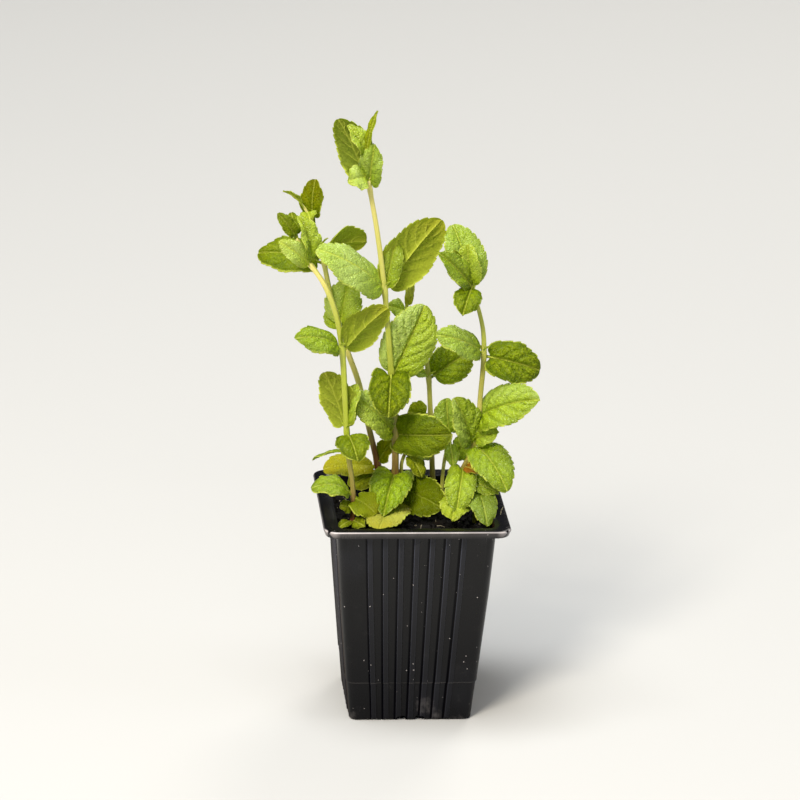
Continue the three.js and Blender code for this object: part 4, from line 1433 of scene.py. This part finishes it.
def add_leaf(shape, route, leaf, look, dice):
    """One leaf: a grooved stalk that runs into a thin toothed blade, quilted between its veins."""
    base, length, along, across, upper = leaf_frame(route, leaf)
    form = LeafForm(leaf, length, look, dice)
    rows = form.rows()
    kind = leaf["look"][:3]
    relief = (leaf["puff"], leaf["glaze"], leaf["look"][3])
    start = len(shape.points)
    for t, rising in rows:
        turned = form.twist * (t - 0.3) if t > 0 else 0.0
        upper_points = []
        under_points = []
        for column in range(-form.columns, form.columns + 1):
            share = column / form.columns
            onward, sideways, height, thick, lines = form.at(t, rising, share)
            rise = height + sideways * math.sin(turned)
            point = base + along * onward + across * (sideways * math.cos(turned)) + upper * rise
            upper_points.append((point, (t, share, 0.0), lines))
            under_points.append((point - upper * thick, (t, share, 1.0), lines))
        for point, spot, lines in upper_points + under_points[::-1]:
            shape.add_point(point, spot, lines, kind, relief)
    shape.skin(start, len(rows), 2 * (2 * form.columns + 1), 1)


def bud_leaves(stem, up, dice):
    """A pair of very young leaves that stand at a node, close to the stem."""
    right, near, half = stem_at(stem["route"], up)
    angle = dice.uniform(0, math.pi)
    pair = []
    for turn in (angle, angle + math.pi):
        reach = half + dice.uniform(1.6, 2.6)
        size = dice.uniform(3.6, 5.2)
        tip = (right + math.cos(turn) * reach, near + math.sin(turn) * reach, up + size)
        facing = (-math.cos(turn), -math.sin(turn), 0.5)
        pair.append(leaf(up - 0.6, tip, size * 0.55, facing, 0.12, 18, "young", curl=0, wave=0.1))
    return pair


def make_stem(name, stem, order, look, foot, materials):
    """One leafy stem with all its leaves."""
    dice = random.Random(MINT_SEED + order)
    shape = Shape()
    add_stem(shape, stem, foot, dice)
    for one_leaf in stem["leaves"]:
        add_leaf(shape, stem["route"], one_leaf, look, dice)
    for up in stem["buds"]:
        for one_leaf in bud_leaves(stem, up, dice):
            add_leaf(shape, stem["route"], one_leaf, look, dice)
    piece = shape.piece(name, PLANT_TURN)
    smooth_up_to(piece, MINT_CREASE)
    dress(piece, "mint_" + name, materials, "mint", name)


def add_camera(sizes):
    """A camera that looks at the plant as the photograph does."""
    azimuth = sizes.azimuth
    elevation = sizes.elevation
    level = math.cos(elevation)
    back = Vector((math.sin(azimuth) * level, -math.cos(azimuth) * level, math.sin(elevation)))
    right = Vector((math.cos(azimuth), math.sin(azimuth), 0))
    upward = back.cross(right)
    target = right * AIM_RIGHT * MM + Vector((0, 0, AIM_UP * MM))
    across = right * math.cos(sizes.roll) + upward * math.sin(sizes.roll)
    above = upward * math.cos(sizes.roll) - right * math.sin(sizes.roll)
    data = bpy.data.cameras.new("photo_camera")
    data.lens = LENS
    data.sensor_width = SENSOR_WIDTH
    data.clip_end = 50
    camera = bpy.data.objects.new("photo_camera", data)
    turn = Matrix((across, above, back)).transposed().to_4x4()
    camera.matrix_world = Matrix.Translation(target + back * sizes.distance) @ turn
    bpy.context.scene.collection.objects.link(camera)
    bpy.context.scene.camera = camera


def add_area_light(name, place, size, power, colour):
    """A soft oblong light that points at the middle of the plant."""
    data = bpy.data.lights.new(name, "AREA")
    data.shape = "RECTANGLE"
    data.size, data.size_y = size
    data.energy = power
    data.color = colour
    light = bpy.data.objects.new(name, data)
    light.location = place
    light.rotation_euler = (LIGHTS_AIM - Vector(place)).to_track_quat("-Z", "Y").to_euler()
    bpy.context.scene.collection.objects.link(light)


def make_stage(sizes):
    """The floor, the lights, the pale surroundings and the camera."""
    clear_selection()
    bpy.ops.mesh.primitive_plane_add(size=FLOOR_SIZE)
    floor = bpy.context.object
    floor.name = "stage_floor"
    floor.data.materials.append(plain_floor(sizes))
    for name, place, size, colour in LIGHTS:
        add_area_light(name + "_light", place, size, getattr(sizes, name), colour)
    world = bpy.data.worlds.new("pale_studio")
    world.use_nodes = True
    background = world.node_tree.nodes["Background"].inputs
    background["Color"].default_value = SKY
    background["Strength"].default_value = SKY_STRENGTH
    bpy.context.scene.world = world
    bpy.context.scene.view_settings.view_transform = "Standard"
    add_camera(sizes)


class MINT_OT_pot(Operator):
    """Build the square nursery pot"""

    bl_idname = "mint.pot"
    bl_label = "Pot"

    def execute(self, context):
        make_pot(context.scene.mint_pot)
        return {"FINISHED"}


class MINT_OT_compost(Operator):
    """Fill the pot with compost"""

    bl_idname = "mint.compost"
    bl_label = "Compost"

    def execute(self, context):
        make_compost(context.scene.mint_compost, context.scene.mint_pot)
        return {"FINISHED"}


class MINT_OT_stems(Operator):
    """Grow the leafy stems and the side shoots"""

    bl_idname = "mint.stems"
    bl_label = "Leafy stems"

    def execute(self, context):
        look = context.scene.mint_plant
        foot = context.scene.mint_compost.level / MM - ROOT_DEPTH
        materials = [mint_stem(look), mint_leaf(look)]
        for order, (name, stem) in enumerate(STEMS.items()):
            make_stem(name, stem, order, look, foot, materials)
        return {"FINISHED"}


class MINT_OT_stage(Operator):
    """Set up the floor, the lights and the camera"""

    bl_idname = "mint.stage"
    bl_label = "Stage"

    def execute(self, context):
        make_stage(context.scene.mint_stage)
        return {"FINISHED"}


class MINT_PT_panel(Panel):
    """The plant's pieces and settings"""

    bl_idname = "MINT_PT_panel"
    bl_label = "Potted mint"
    bl_space_type = "VIEW_3D"
    bl_region_type = "UI"
    bl_category = "Mint"

    def draw(self, context):
        for operator, group in PANEL_ROWS:
            self.layout.operator(operator)
            settings = getattr(context.scene, group)
            for name in settings.__annotations__:
                self.layout.prop(settings, name)


PANEL_ROWS = [
    ("mint.pot", "mint_pot"),
    ("mint.compost", "mint_compost"),
    ("mint.stems", "mint_plant"),
    ("mint.stage", "mint_stage"),
]
GROUPS = {
    "mint_pot": PotSizes,
    "mint_compost": CompostSizes,
    "mint_plant": PlantLook,
    "mint_stage": StageSizes,
}
CLASSES = [MINT_OT_pot, MINT_OT_compost, MINT_OT_stems, MINT_OT_stage, MINT_PT_panel]


def register():
    """Registers the settings, the operators and the panel."""
    for name, group in GROUPS.items():
        bpy.utils.register_class(group)
        setattr(bpy.types.Scene, name, PointerProperty(type=group))
    for one_class in CLASSES:
        bpy.utils.register_class(one_class)


def unregister():
    """Takes the settings, the operators and the panel away again."""
    for one_class in reversed(CLASSES):
        bpy.utils.unregister_class(one_class)
    for name, group in GROUPS.items():
        delattr(bpy.types.Scene, name)
        bpy.utils.unregister_class(group)


def main():
    """Builds everything."""
    register()
    bpy.ops.mint.pot()
    bpy.ops.mint.compost()
    bpy.ops.mint.stems()
    bpy.ops.mint.stage()


if __name__ == "__main__":
    main()
